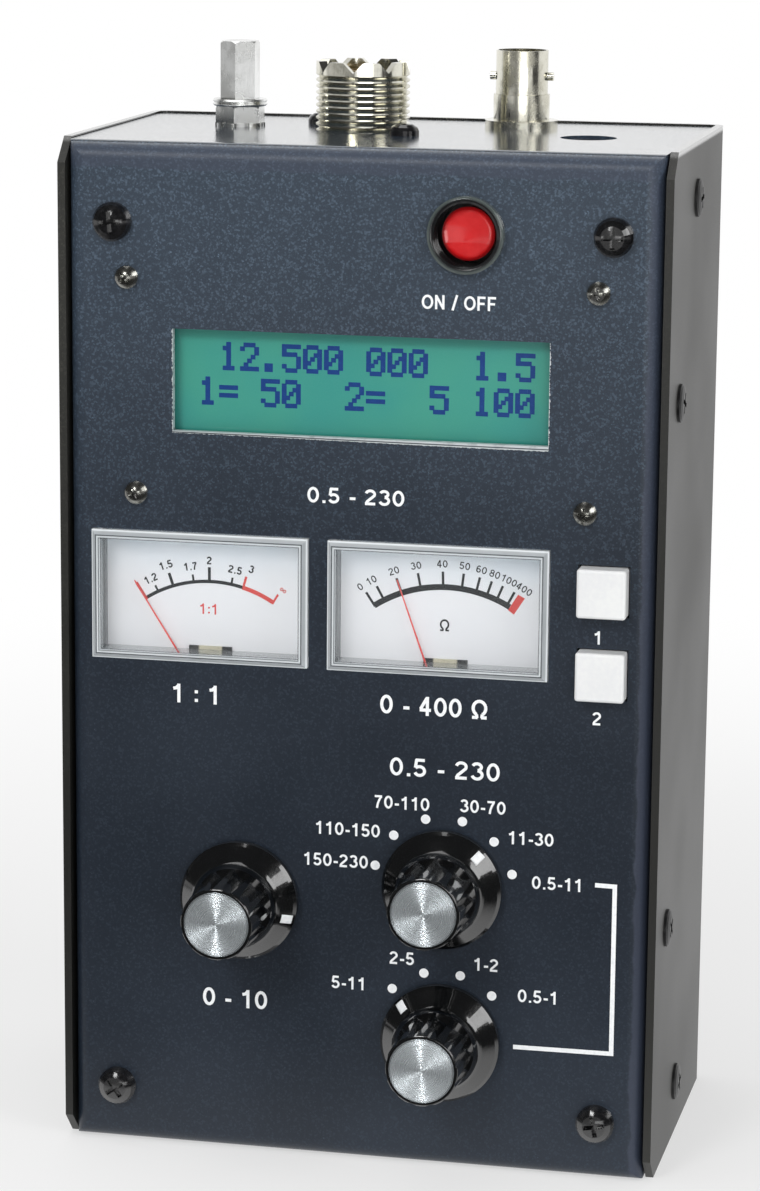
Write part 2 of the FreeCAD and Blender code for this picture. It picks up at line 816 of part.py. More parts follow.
def cut_ends(body):
    """Connector holes in the top flange and the tray's screw holes in the bottom one."""
    top = new_sketch(body, "XY", CHASSIS_TOP)
    circle(top, "antenna_middle", ANTENNA_Y, "antenna_thread_radius + hole_clearance")
    for across, back in ANTENNA_SCREWS:
        circle(top, across, back, "antenna_screw_shank + hole_clearance")
    circle(top, "counter_middle", COUNTER_Y, "counter_tail_radius + hole_clearance")
    circle(top, "jack_middle", JACK_Y, "jack_hole_radius")
    circle(top, "ground_middle", GROUND_Y, "ground_stud_radius + hole_clearance")
    pocket(body, top, CUT_REACH)
    foot = new_sketch(body, "XY", CHASSIS_FOOT)
    for side in ("-", ""):
        circle(foot, f"{side}tray_screw_span", TRAY_SCREW_Y, "tray_screw_shank + hole_clearance")
    pocket(body, foot, CUT_REACH, reverse=True)


def make_rear_cover():
    body = new_body("RearCover")
    side, inside = "(case_width / 2)", COVER_INSIDE
    back, back_inside = "(case_depth / 2)", "(case_depth / 2 - cover_sheet)"
    plan = outline(new_sketch(body, "XY"), [
        (f"-{side}", FRONT), (f"-{inside}", FRONT), (f"-{inside}", back_inside),
        (inside, back_inside), (inside, FRONT), (side, FRONT), (side, back), (f"-{side}", back)])
    pad(body, plan, "case_height")
    soften(body, "Fillet", "bend_radius",
           lambda edge, box: edge.ZLength > 1 and edge.YMin > box.YMax - 1e-4)
    inner_side = size("case_width") / 2 - size("cover_sheet")
    inner_back = size("case_depth") / 2 - size("cover_sheet")
    soften(body, "Fillet", "bend_radius - cover_sheet",
           lambda edge, box: same(abs(edge.XMin), inner_side) and same(edge.YMin, inner_back)
           and same(edge.XLength, 0) and same(edge.YLength, 0))
    soften(body, "Chamfer", "corner_cut",
           lambda edge, box: on_front(edge, box) and edge.ZLength < 1e-4)
    holes = new_sketch(body, "YZ")
    for setback, up in COVER_SCREWS:
        circle(holes, f"{FRONT} + {setback}", up, "cover_screw_shank + hole_clearance")
    pocket_through(body, holes)
    piece(body, "rear_cover")


# ---------------------------------------------------------------- circuit board and display

def make_main_board():
    plate = centred("board_plate", "0", "board_half_width",
                    (BOARD_FRONT, BOARD_BACK), ("board_foot", "board_top"))
    nuts, holes = [], []
    for number, middle in enumerate(BOARD_SCREWS):
        nut_end = f"({BOARD_BACK} + press_nut_height)"
        nuts.append(rod(f"press_nut_{number}", "Y", middle, (BOARD_BACK, nut_end),
                        "board_screw_shank + press_nut_wall"))
        holes.append(rod(f"board_hole_{number}", "Y", middle, (BOARD_FRONT, nut_end),
                         "board_screw_shank + seat_clearance"))
    piece(cut("MainBoard", fuse("board_with_nuts", plate, *nuts), *holes), "main_board")


def make_board_parts():
    """Chips, capacitors and wound cores that stand on the back of the board."""
    def spot(across, up):
        return (f"({across} * board_half_width)",
                f"(board_foot + {up} * (board_top - board_foot))")

    parts = []
    chip_back = f"({BOARD_BACK} + chip_height)"
    for number, (across, up, length) in enumerate(CHIPS):
        middle, height = spot(across, up)
        parts.append(centred(f"chip_{number}", middle, length / 2, (BOARD_BACK, chip_back),
                             (f"({height} - chip_width / 2)", f"({height} + chip_width / 2)")))
    for number, (across, up, (radius, length)) in enumerate(CANS):
        parts.append(rod(f"can_{number}", "Y", spot(across, up),
                         (BOARD_BACK, f"({BOARD_BACK} + {length})"), radius))
    for number, (across, up) in enumerate(COILS):
        ring = doc.addObject("Part::Torus", f"coil_{number}")
        bind(ring, Radius1="coil_radius", Radius2="coil_wire_radius")
        ring.Placement = Placement(Vector(), ALONG["Y"])
        middle, height = spot(across, up)
        parts.append(place(ring, middle, f"{BOARD_BACK} + coil_wire_radius", height))
    piece(group("BoardParts", parts), "board_parts")


def make_display():
    board_back = f"({DISPLAY_BOARD_FRONT} + board_thickness)"
    plate = centred("display_plate", "0", "display_board_half_width",
                    (DISPLAY_BOARD_FRONT, board_back), ("display_board_foot", "display_board_top"))
    holes = [rod(f"display_hole_{number}", "Y", middle, (DISPLAY_BOARD_FRONT, board_back),
                 "display_screw_shank + hole_clearance")
             for number, middle in enumerate(DISPLAY_SCREWS)]
    piece(cut("DisplayBoard", plate, *holes), "display_board")

    def frame_box(name, border, front):
        return centred(name, "0", f"(window_half_width + {border})", (front, DISPLAY_BOARD_FRONT),
                       (f"(window_foot - {border})", f"(window_top + {border})"))

    front = f"({PANEL_BACK} + frame_setback)"
    lip_back = f"({front} + frame_sheet)"
    outside = frame_box("frame_outside", "frame_border", front)
    hollow = frame_box("frame_hollow", "(frame_border - frame_sheet)", lip_back)
    opening = frame_box("frame_opening", "frame_overlap", front)
    piece(cut("DisplayFrame", outside, hollow, opening), "display_frame")
    glass = frame_box("DisplayGlass", "(frame_border - frame_sheet - seat_clearance)",
                      f"({lip_back} + seat_clearance)")
    piece(glass, "display_glass")


# ---------------------------------------------------------------- meters

def make_meter(side, middle, turn):
    def box(name, beside, above, y, drop="0"):
        """A box about the lens, wider and taller than it by what beside and above say."""
        half = f"(meter_width / 2 {beside})"
        return centred(f"{side}_{name}", middle, half, y,
                       (f"(meter_foot - (0 {above}) - {drop})", f"({METER_TOP} + (0 {above}))"))

    make_lens(side, middle)
    make_meter_case(side, box)
    dial_front = f"({FRONT} + dial_setback)"
    dial = box("dial_plate", "- seat_clearance", "- seat_clearance",
               (dial_front, f"({dial_front} + dial_thickness)"), "meter_case_drop")
    pivot = (middle, "(meter_foot - needle_pivot_drop)")
    dial_back = f"({dial_front} + dial_thickness)"
    opening = rod(f"{side}_dial_hole", "Y", pivot, (dial_front, dial_back),
                  "needle_hub + 2 * window_clearance")
    piece(cut(f"{side}_dial", dial, opening), f"{side}_meter_dial")
    make_magnet(side, pivot, dial_back)
    make_needle(side, pivot, turn)


def make_lens(side, middle):
    """A clear cover, open at the back, with a bevel round its front face."""
    body = new_body(f"{side}_lens")
    half = "meter_width / 2"
    sketch = rectangle(new_sketch(body, "XZ", f"-({FRONT} - lens_rise)"),
                       (f"{middle} - {half}", f"{middle} + {half}"), ("meter_foot", METER_TOP))
    pad(body, sketch, "lens_rise + lens_depth", reverse=True)
    soften(body, "Chamfer", "lens_bevel", on_front)
    inside = rectangle(new_sketch(body, "XZ", f"-{LENS_BACK}"),
                       (f"{middle} - {half} + lens_wall", f"{middle} + {half} - lens_wall"),
                       ("meter_foot + lens_wall", f"{METER_TOP} - lens_wall"))
    pocket(body, inside, "lens_rise + lens_depth - lens_front", reverse=True)
    piece(body, f"{side}_meter_lens")


def make_meter_case(side, box):
    """A case as wide as the lens, whose side walls begin behind the dial."""
    case_back = f"({PANEL_BACK} + meter_case_depth)"
    front_wall_back = f"({PANEL_BACK} + meter_case_wall)"
    dial_back = f"({FRONT} + dial_setback + dial_thickness)"
    shell = box("shell", "+ 0", "+ meter_case_wall + seat_clearance", (PANEL_BACK, case_back),
                "meter_case_drop")
    hollow = box("hollow", "- meter_case_wall", "+ seat_clearance",
                 (dial_back, f"({case_back} - meter_case_wall)"), "meter_case_drop")
    front_hollow = box("front_hollow", "+ meter_case_wall", "+ seat_clearance",
                       (front_wall_back, dial_back), "meter_case_drop")
    seat = box("lens_seat", "+ meter_case_wall", "+ seat_clearance",
               (PANEL_BACK, front_wall_back))
    piece(cut(f"{side}_case", shell, hollow, front_hollow, seat), f"{side}_meter_case")


def make_magnet(side, pivot, dial_back):
    """The magnet behind the dial, the pin that the needle turns on and its bridge."""
    magnet_front = f"({dial_back} + seat_clearance)"
    plate_back = f"({FRONT} + dial_setback - seat_clearance)"
    magnet = rod(f"{side}_magnet", "Y", pivot,
                 (magnet_front, f"({magnet_front} + magnet_thickness)"), "magnet_radius")
    pin = rod(f"{side}_pivot_pin", "Y", pivot,
              (f"({FRONT} + needle_setback - pivot_reach)", magnet_front), "pivot_radius")
    boss = rod(f"{side}_boss", "Y", pivot, (plate_back, magnet_front), "needle_hub")
    plate = centred(f"{side}_plate", pivot[0], "plate_half_width",
                    (f"({plate_back} - plate_thickness)", plate_back),
                    (f"({pivot[1]} - magnet_radius)", "(meter_foot + plate_rise)"))
    bridge = centred(f"{side}_bridge", pivot[0], "(magnet_radius - bridge_inset)",
                     (f"({magnet_front} + bridge_inset)",
                      f"({PANEL_BACK} + meter_case_depth - meter_case_wall)"),
                     (f"({pivot[1]} - bridge_half_height)", f"({pivot[1]} + bridge_half_height)"))
    piece(fuse(f"{side}_movement", magnet, pin, boss, plate, bridge), f"{side}_meter_movement")


def make_needle(side, pivot, turn):
    """The needle points up in its own frame and is turned to its reading."""
    body = new_body(f"{side}_needle")
    half, tip = "needle_width / 2", "needle_width / 5"
    tail = "needle_hub * 1.6"
    blade = outline(new_sketch(body, "XZ"), [
        (f"-{half}", f"-{tail}"), (half, f"-{tail}"), (half, "needle_hub"),
        (tip, "needle_length"), (f"-{tip}", "needle_length"), (f"-{half}", "needle_hub")])
    pad(body, blade, "needle_thickness", reverse=True)
    hub = circle(new_sketch(body, "XZ"), 0, 0, "needle_hub")
    pad(body, hub, "needle_thickness * 2", reverse=True)
    bore = circle(new_sketch(body, "XZ"), 0, 0, "pivot_radius + running_clearance")
    pocket(body, bore, "needle_thickness * 2")
    body.Placement = Placement(Vector(), Rotation(Vector(0, 1, 0), 30))
    place(body, pivot[0], f"{FRONT} + needle_setback", pivot[1], turn)
    piece(body, f"{side}_meter_needle")


# ---------------------------------------------------------------- controls

CONTROLS = [("tune_middle", "tune_height"), ("band_middle", "band_height"),
            ("band_middle", "low_band_height")]
CONTROL_FRONT = f"({PANEL_BACK} + hole_clearance)"


def make_knob(name, middle, turn):
    """A fluted knob on a wide skirt, its pointer up until it is turned to its setting."""
    body = new_body(name + "Knob")
    top, foot = "knob_height", "knob_gap"
    profile = outline(new_sketch(body, "XY"), [
        (0, f"-{top}"), ("grip_top_radius", f"-{top}"), ("grip_radius", "-flare_height"),
        ("skirt_radius - skirt_edge", f"-({foot} + skirt_thickness)"),
        ("skirt_radius", f"-({foot} + skirt_thickness - skirt_edge)"),
        ("skirt_radius", f"-{foot}"),
        ("under_radius", f"-{foot}"), ("under_radius", "-under_depth"), (0, "-under_depth")])
    spin(body, "Revolution", profile, "V_Axis")
    soften(body, "Fillet", "knob_edge", on_front)
    foot_of_grip = -size("flare_height")
    soften(body, "Fillet", "flare_round",
           lambda edge, box: edge.YLength < 1e-4 and same(edge.YMin, foot_of_grip))
    recess = circle(new_sketch(body, "XZ", top), 0, 0, "cap_radius + seat_clearance")
    pocket(body, recess, "cap_thickness")
    bore = new_sketch(body, "XZ", "under_depth")
    circle(bore, 0, 0, "shaft_radius + seat_clearance")
    pocket(body, bore, "shaft_end + seat_clearance - under_depth", reverse=True)
    flute = circle(new_sketch(body, "XZ", "knob_height"), 0,
                   "grip_radius + flute_radius - flute_depth", "flute_radius")
    groove = pocket(body, flute, "knob_height - flute_floor")
    polar(body, groove, "Y", FLUTE_COUNT)
    stand(body, middle, turn)
    piece(body, f"{name}_knob")


def stand(body, middle, turn):
    """Puts a body that is drawn about the Y axis on its control and turns it."""
    body.Placement = Placement(Vector(), Rotation(Vector(0, 1, 0), 30))
    place(body, middle[0], FRONT, middle[1], turn)


def make_cap(name, middle, turn):
    """A spun disc, very slightly dished, let into the knob's top."""
    body = new_body(name + "Cap")
    profile = outline(new_sketch(body, "XY"), [
        (0, "-(knob_height - cap_thickness)"), ("cap_radius", "-(knob_height - cap_thickness)"),
        ("cap_radius", "-(knob_height - cap_dish)"),
        ("cap_radius - cap_edge", "-(knob_height + cap_dish)"),
        (0, "-(knob_height)")])
    spin(body, "Revolution", profile, "V_Axis")
    stand(body, middle, turn)
    piece(body, f"{name}_knob_cap")


def make_shaft(name, middle, turn):
    body = new_body(name + "Shaft")
    pad(body, circle(new_sketch(body, "XZ", "-shaft_tail"), 0, 0, "shaft_radius"),
        "shaft_end + shaft_tail")
    flat = rectangle(new_sketch(body, "XZ", "shaft_end"), ("-shaft_radius", "shaft_radius"),
                     ("shaft_flat", "2 * shaft_radius"))
    pocket(body, flat, "shaft_end - bushing_rise - shaft_flat_gap")
    stand(body, middle, turn)
    piece(body, f"{name}_shaft")


def control_body(name, middle, shell, label):
    """A control's case with its threaded bushing, bored for the shaft."""
    bushing = rod(f"{name}_bushing", "Y", middle,
                  (f"({FRONT} - bushing_rise)", CONTROL_FRONT), "bushing_radius")
    bore = rod(f"{name}_bore", "Y", middle,
               (f"({FRONT} - bushing_rise)", f"({FRONT} + shaft_tail + shaft_end_gap)"),
               "shaft_radius + running_clearance")
    piece(cut(f"{name}_control", fuse(f"{name}_solid", bushing, shell), bore), label)


def make_controls():
    tune, band, low_band = CONTROLS
    for name, middle, turn in (("tune", tune, "tune_pointer_turn"),
                               ("band", band, "band_pointer_turn"),
                               ("low_band", low_band, "low_band_pointer_turn")):
        make_knob(name, middle, turn)
        make_cap(name, middle, turn)
        make_shaft(name, middle, turn)
    half = "capacitor_half_width"
    case = centred("tune_case", tune[0], half, (CONTROL_FRONT, f"({CONTROL_FRONT}"
                   " + capacitor_depth)"), (f"({tune[1]} - {half})", f"({tune[1]} + {half})"))
    control_body("tune", tune, case, "tune_capacitor")
    for name, middle in (("band", band), ("low_band", low_band)):
        drum = rod(f"{name}_drum", "Y", middle, (CONTROL_FRONT, f"({CONTROL_FRONT}"
                   " + switch_depth)"), "switch_radius")
        control_body(name, middle, drum, f"{name}_switch")
    nuts = []
    for number, middle in enumerate(CONTROLS):
        span = (f"({FRONT} - control_nut_height)", FRONT)
        nut = hexagon(f"nut_{number}", "Y", middle, span, "control_nut_across")
        bore = rod(f"nut_bore_{number}", "Y", middle, span, "bushing_radius + seat_clearance")
        nuts.append(cut(f"control_nut_{number}", nut, bore))
    piece(group("ControlNuts", nuts), "control_nuts")


# ---------------------------------------------------------------- push buttons

def make_power_button():
    at = ("power_middle", "power_height")
    rim = f"({FRONT} - bezel_rise)"
    barrel_end = f"({FRONT} + barrel_depth)"
    flange = rod("bezel_flange", "Y", at, (rim, FRONT), "bezel_radius")
    barrel = rod("bezel_barrel", "Y", at, (FRONT, barrel_end), "barrel_radius")
    mouth = rod("bezel_mouth", "Y", at, (rim, barrel_end), "barrel_radius - barrel_wall")
    piece(cut("Bezel", fuse("bezel_solid", flange, barrel), mouth), "power_bezel")

    face = f"({FRONT} + power_button_sink)"
    shoulder = f"({face} + power_button_length)"
    stem_end = f"({shoulder} + power_stem_length)"
    edge_back = f"({face} + power_button_edge)"
    top = cone("power_top", "Y", at, (face, edge_back),
               "power_button_radius - power_button_edge", "power_button_radius")
    head = rod("power_head", "Y", at, (edge_back, shoulder), "power_button_radius")
    dish = bind(doc.addObject("Part::Sphere", "power_dish"), Radius="power_dish_radius")
    place(dish, at[0], f"{face} + power_dish_depth - power_dish_radius", at[1])
    stem = rod("power_stem", "Y", at, (shoulder, stem_end), "power_stem_radius")
    piece(cut("PowerButton", fuse("power_solid", top, head, stem), dish), "power_button")

    half = "power_switch_half_width"
    case = centred("power_case", at[0], half, (barrel_end, BOARD_FRONT),
                   (f"({at[1]} - {half})", f"({at[1]} + {half})"))
    well = rod("power_well", "Y", at, (barrel_end, f"({shoulder} + power_well_room)"),
               "barrel_radius - barrel_wall")
    bore = rod("power_bore", "Y", at, (barrel_end, f"({stem_end} + power_bore_room)"),
               "power_stem_radius + running_clearance")
    piece(cut("PowerSwitch", case, well, bore), "power_switch")


def make_push_button(name, up):
    body = new_body(name + "Button")
    half, at = "button_width / 2", "button_middle"
    face = rectangle(new_sketch(body, "XZ", f"-({FRONT} - button_rise)"),
                     (f"{at} - {half}", f"{at} + {half}"), (f"{up} - {half}", f"{up} + {half}"))
    pad(body, face, "button_rise + button_depth", reverse=True)
    soften(body, "Fillet", "button_corner",
           lambda edge, box: on_front(edge, box) or edge.YLength > 1)
    stem = circle(new_sketch(body, "XZ", f"-({FRONT} + button_depth)"), at, up,
                  "button_stem_radius")
    pad(body, stem, "button_stem_length", reverse=True)
    piece(body, f"{name}_button")
    wide = "button_switch_width / 2"
    switch_front = f"({BOARD_FRONT} - button_switch_depth)"
    case = centred(f"{name}_case", at, wide, (switch_front, BOARD_FRONT),
                   (f"({up} - {wide})", f"({up} + {wide})"))
    bore = rod(f"{name}_bore", "Y", (at, up),
               (switch_front, f"({FRONT} + button_depth + button_stem_length + stem_end_gap)"),
               "button_stem_radius + running_clearance")
    piece(cut(f"{name}Switch", case, bore), f"{name}_switch")


# ---------------------------------------------------------------- connectors

COUNTER_Y = f"({FRONT} + counter_setback)"
JACK_Y = f"({FRONT} + jack_setback)"
GROUND_Y = f"({FRONT} + ground_setback)"


def make_antenna_socket():
    """A threaded barrel with a notched rim on a square flange under the top sheet."""
    body = new_body("AntennaSocket")
    half = "antenna_flange_width / 2"
    flange = rectangle(new_sketch(body, "XY", "-(panel_sheet + antenna_flange_thickness)"),
                       (f"-{half}", half), (f"-{half}", half))
    pad(body, flange, "antenna_flange_thickness")
    barrel = circle(new_sketch(body, "XY", "-panel_sheet"), 0, 0, "antenna_thread_radius")
    pad(body, barrel, "panel_sheet + antenna_rise")
    tail_foot = "-(panel_sheet + antenna_flange_thickness + antenna_tail_length)"
    tail = circle(new_sketch(body, "XY", tail_foot), 0, 0, "antenna_tail_radius")
    pad(body, tail, "antenna_tail_length")
    bore = circle(new_sketch(body, "XY", "antenna_rise"), 0, 0, "antenna_bore_radius")
    pocket(body, bore, "antenna_bore_depth")
    core = circle(new_sketch(body, "XY", "antenna_rise"), 0, 0,
                  "antenna_tail_radius - antenna_tail_wall")
    pocket_through(body, core)
    screw_holes = new_sketch(body, "XY", "-panel_sheet")
    for sign, other in (("", "-"), ("-", "")):
        circle(screw_holes, f"{sign}antenna_screw_span", f"{other}antenna_screw_span",
               "antenna_screw_shank + seat_clearance")
    pocket(body, screw_holes, "antenna_flange_thickness")
    cut_thread(body)
    outside = "(antenna_thread_radius + hole_clearance)"
    notch = outline(new_sketch(body, "YZ", outside), [
        (0, "antenna_rise - antenna_notch_depth"), ("antenna_notch_width / 2", "antenna_rise"),
        ("-antenna_notch_width / 2", "antenna_rise")])
    inward = f"{outside} - antenna_bore_radius + antenna_notch_width / 2"
    polar(body, pocket(body, notch, inward), "Z", NOTCH_COUNT)
    place(body, "antenna_middle", ANTENNA_Y, CHASSIS_TOP)
    piece(body, "antenna_socket")


def cut_thread(body):
    """Rings of the thread's own depth and pitch, from below the rim down to the panel."""
    low = "(antenna_rise - antenna_notch_depth - thread_start)"
    ring = outline(new_sketch(body, "XZ"), [
        ("antenna_thread_radius - antenna_thread_depth", low),
        ("antenna_thread_radius + hole_clearance", f"{low} + antenna_thread_pitch * 0.45"),
        ("antenna_thread_radius + hole_clearance", f"{low} - antenna_thread_pitch * 0.45")])
    groove = spin(body, "Groove", ring, "V_Axis")
    pattern = linear(body, groove, "Z",
                     f"antenna_thread_pitch * {THREAD_RING_COUNT - 1}", THREAD_RING_COUNT)
    pattern.Reversed = True
    doc.recompute()


def make_antenna_inside():
    at = ("antenna_middle", ANTENNA_Y)
    bore_floor = f"({CHASSIS_TOP} + antenna_rise - antenna_bore_depth)"
    tail_foot = (f"({CHASSIS_TOP} - panel_sheet - antenna_flange_thickness"
                 " - antenna_tail_length)")
    insulator_top = f"({bore_floor} + insulator_rise)"
    contact_top = f"({CHASSIS_TOP} + antenna_rise - contact_drop)"
    contact_foot = f"({contact_top} - contact_bore_depth - contact_wall_foot)"
    wide = rod("insulator_disc", "Z", at, (bore_floor, insulator_top),
               "antenna_bore_radius - seat_clearance")
    narrow = rod("insulator_core", "Z", at, (tail_foot, bore_floor),
                 "antenna_tail_radius - antenna_tail_wall - seat_clearance")
    hole = rod("insulator_hole", "Z", at, (contact_foot, insulator_top),
               "contact_radius + seat_clearance")
    tail_hole = rod("insulator_tail_hole", "Z", at, (tail_foot, contact_foot),
                    "contact_tail_radius + seat_clearance")
    piece(cut("AntennaInsulator", fuse("insulator_solid", wide, narrow), hole, tail_hole),
          "antenna_insulator")
    tube = rod("contact_tube", "Z", at, (contact_foot, contact_top), "contact_radius")
    tail = rod("contact_tail", "Z", at, (f"({tail_foot} - tail_pin_reach)", contact_foot),
               "contact_tail_radius")
    bore = rod("contact_bore", "Z", at, (f"({contact_top} - contact_bore_depth)", contact_top),
               "contact_bore_radius")
    piece(cut("AntennaContact", fuse("contact_solid", tube, tail), bore), "antenna_contact")
    form = screw_form("AntennaScrewForm", "antenna_screw_head", "antenna_screw_rise",
                      "antenna_screw_shank", "(panel_sheet + antenna_flange_thickness)")
    copies = [copy(form, f"antenna_screw_{number}", across, back, CHASSIS_TOP,
                   Rotation(Vector(0, 0, 1), ANTENNA_SCREW_ANGLES[number]))
              for number, (across, back) in enumerate(ANTENNA_SCREWS)]
    piece(group("AntennaScrews", copies), "antenna_screws")


def make_counter_socket():
    """A bayonet socket: body with two lugs above its flange, threaded tail and nut below."""
    at = ("counter_middle", COUNTER_Y)
    flange_top = f"({CHASSIS_TOP} + counter_flange_thickness)"
    top = f"({CHASSIS_TOP} + counter_rise)"
    foot = f"({CHASSIS_TOP} - counter_tail_length)"
    bore_floor = f"({top} - counter_bore_depth)"
    neck = f"({CHASSIS_TOP} + counter_shoulder)"
    solids = [
        rod("counter_flange", "Z", at, (CHASSIS_TOP, flange_top), "counter_flange_radius"),
        rod("counter_body", "Z", at, (flange_top, neck), "counter_radius"),
        rod("counter_neck", "Z", at, (neck, top), "counter_radius - counter_neck_depth"),
        rod("counter_tail", "Z", at, (foot, CHASSIS_TOP), "counter_tail_radius"),
        rod("counter_lugs", "X", (at[1], f"({CHASSIS_TOP} + counter_lug_height)"),
            ("(counter_middle - counter_lug_span / 2)", "(counter_middle + counter_lug_span / 2)"),
            "counter_lug_radius")]
    bore = rod("counter_bore", "Z", at, (bore_floor, top), "counter_bore_radius")
    core = rod("counter_core", "Z", at, (foot, bore_floor), "counter_insulator_radius"
               " + seat_clearance")
    piece(cut("CounterSocket", fuse("counter_solid", *solids), bore, core), "counter_socket")

    insulator_top = f"({top} - counter_insulator_drop)"
    pin_hole = rod("counter_pin_hole", "Z", at, (foot, insulator_top),
                   "counter_contact_radius + seat_clearance")
    plug = rod("counter_plug", "Z", at, (foot, insulator_top), "counter_insulator_radius")
    piece(cut("CounterInsulator", plug, pin_hole), "counter_insulator")
    pin = rod("counter_pin", "Z", at, (f"({foot} - tail_pin_reach)", insulator_top),
              "counter_contact_radius")
    mouth = rod("counter_mouth", "Z", at,
                (f"({insulator_top} - counter_contact_depth)", insulator_top),
                "counter_contact_bore")
    piece(cut("CounterContact", pin, mouth), "counter_contact")

    span = (f"({TOP_INSIDE} - counter_nut_height)", TOP_INSIDE)
    nut = hexagon("counter_nut_solid", "Z", at, span, "counter_nut_across")
    nut_bore = rod("counter_nut_bore", "Z", at, span, "counter_tail_radius + seat_clearance")
    piece(cut("CounterNut", nut, nut_bore), "counter_nut")


def make_power_jack():
    at = ("jack_middle", JACK_Y)
    foot = f"({TOP_INSIDE} - jack_height)"
    case = centred("jack_case", at[0], "jack_half_width",
                   (f"({JACK_Y} - jack_half_depth)", f"({JACK_Y} + jack_half_depth)"),
                   (foot, TOP_INSIDE))
    collar = rod("jack_collar", "Z", at, (TOP_INSIDE, f"({CHASSIS_TOP} - panel_sheet / 2)"),
                 "jack_hole_radius - hole_clearance")
    bore = rod("jack_bore", "Z", at, (f"({TOP_INSIDE} - jack_bore_depth)", CHASSIS_TOP),
               "jack_bore_radius")
    pin = rod("jack_pin", "Z", at, (f"({TOP_INSIDE} - jack_height)",
              f"({TOP_INSIDE} - jack_pin_drop)"), "jack_pin_radius")
    hollow = cut("jack_hollow", fuse("jack_solid", case, collar), bore)
    piece(fuse("PowerJack", hollow, pin), "power_jack")


def ground_hexagon(name, at, span, across, height):
    """A hexagon whose upper corners are cut off at 45 degrees."""
    prism = hexagon(f"{name}_solid", "Z", at, span, across)
    place(prism, *at, span[0], "ground_hex_turn")
    top_radius = f"{across} / sqrt(3) - ground_corner_cut"
    crown = cone(f"{name}_crown", "Z", at, span, f"{top_radius} + {height}", top_radius)
    trimmed = doc.addObject("Part::MultiCommon", f"{name}_trimmed")
    trimmed.Shapes = [prism, crown]
    return trimmed


def make_ground_post():
    at = ("ground_middle", GROUND_Y)
    nut_foot = f"({CHASSIS_TOP} + lock_washer_thickness)"
    nut_top = f"({nut_foot} + ground_nut_height)"
    washer_top = f"({nut_top} + 2 * flat_washer_thickness)"
    post_foot = f"({washer_top} + seat_clearance)"
    post_top = f"({post_foot} + ground_post_height)"
    stud_top = f"({washer_top} + ground_stud_rise / 2)"
    bore = "ground_stud_radius + seat_clearance"

    stud = rod("stud_rod", "Z", at, (TOP_INSIDE, stud_top), "ground_stud_radius")
    head = rod("stud_head", "Z", at, (f"({TOP_INSIDE} - ground_head_height)", TOP_INSIDE),
               "ground_head_radius")
    piece(fuse("GroundStud", stud, head), "ground_stud")
    nut = ground_hexagon("ground_nut", at, (nut_foot, nut_top), "ground_nut_across",
                         "ground_nut_height")
    nut_bore = rod("ground_nut_bore", "Z", at, (nut_foot, nut_top), bore)
    piece(cut("GroundNut", nut, nut_bore), "ground_nut")

    body = new_body("LockWasher")
    disc = new_sketch(body, "XY")
    circle(disc, 0, 0, "lock_washer_radius")
    circle(disc, 0, 0, bore)
    pad(body, disc, "lock_washer_thickness")
    gap = rectangle(new_sketch(body, "XY", "lock_washer_thickness"),
                    ("lock_washer_radius - lock_tooth_depth",
                     "lock_washer_radius + lock_tooth_depth"),
                    ("-lock_tooth_half_gap", "lock_tooth_half_gap"))
    polar(body, pocket(body, gap, "lock_washer_thickness"), "Z", TOOTH_COUNT)
    place(body, at[0], at[1], CHASSIS_TOP)
    flats = []
    for number in range(2):
        foot, middle, top = [f"({nut_top} + {number + share} * flat_washer_thickness)"
                             for share in (0, 0.5, 1)]
        low_half = cone(f"flat_low_{number}", "Z", at, (foot, middle),
                        "flat_washer_radius - flat_washer_edge", "flat_washer_radius")
        high_half = cone(f"flat_high_{number}", "Z", at, (middle, top),
                         "flat_washer_radius", "flat_washer_radius - flat_washer_edge")
        hole = rod(f"flat_hole_{number}", "Z", at, (foot, top), bore)
        flats.append(cut(f"flat_washer_{number}", fuse(f"flat_disc_{number}", low_half, high_half),
                         hole))
    piece(group("GroundWashers", [body, *flats]), "ground_washers")

    post = ground_hexagon("ground_post", at, (post_foot, post_top), "ground_post_across",
                          "ground_post_height")
    post_bore = rod("post_bore", "Z", at, (post_foot, f"({stud_top} + ground_post_room)"),
                    "ground_stud_radius + running_clearance")
    piece(cut("GroundPost", post, post_bore), "ground_post")


# ---------------------------------------------------------------- batteries

CELL_PITCH = "(2 * cell_radius + cell_gap)"
CELL_STEP = "(cell_length + cell_nub_height + cell_gap)"
TRAY_HALF = f"({CELL_COLUMN_COUNT} * {CELL_PITCH} / 2 + tray_wall)"
TRAY_BACK = "(case_depth / 2 - cover_sheet - back_gap)"
TRAY_FRONT = f"({TRAY_BACK} - tray_depth)"
CELL_FOOT = f"({FLOOR_INSIDE} + tray_foot_height + cell_gap)"
TRAY_TOP = f"({CELL_FOOT} + {CELL_ROW_COUNT} * {CELL_STEP} + tray_wall)"


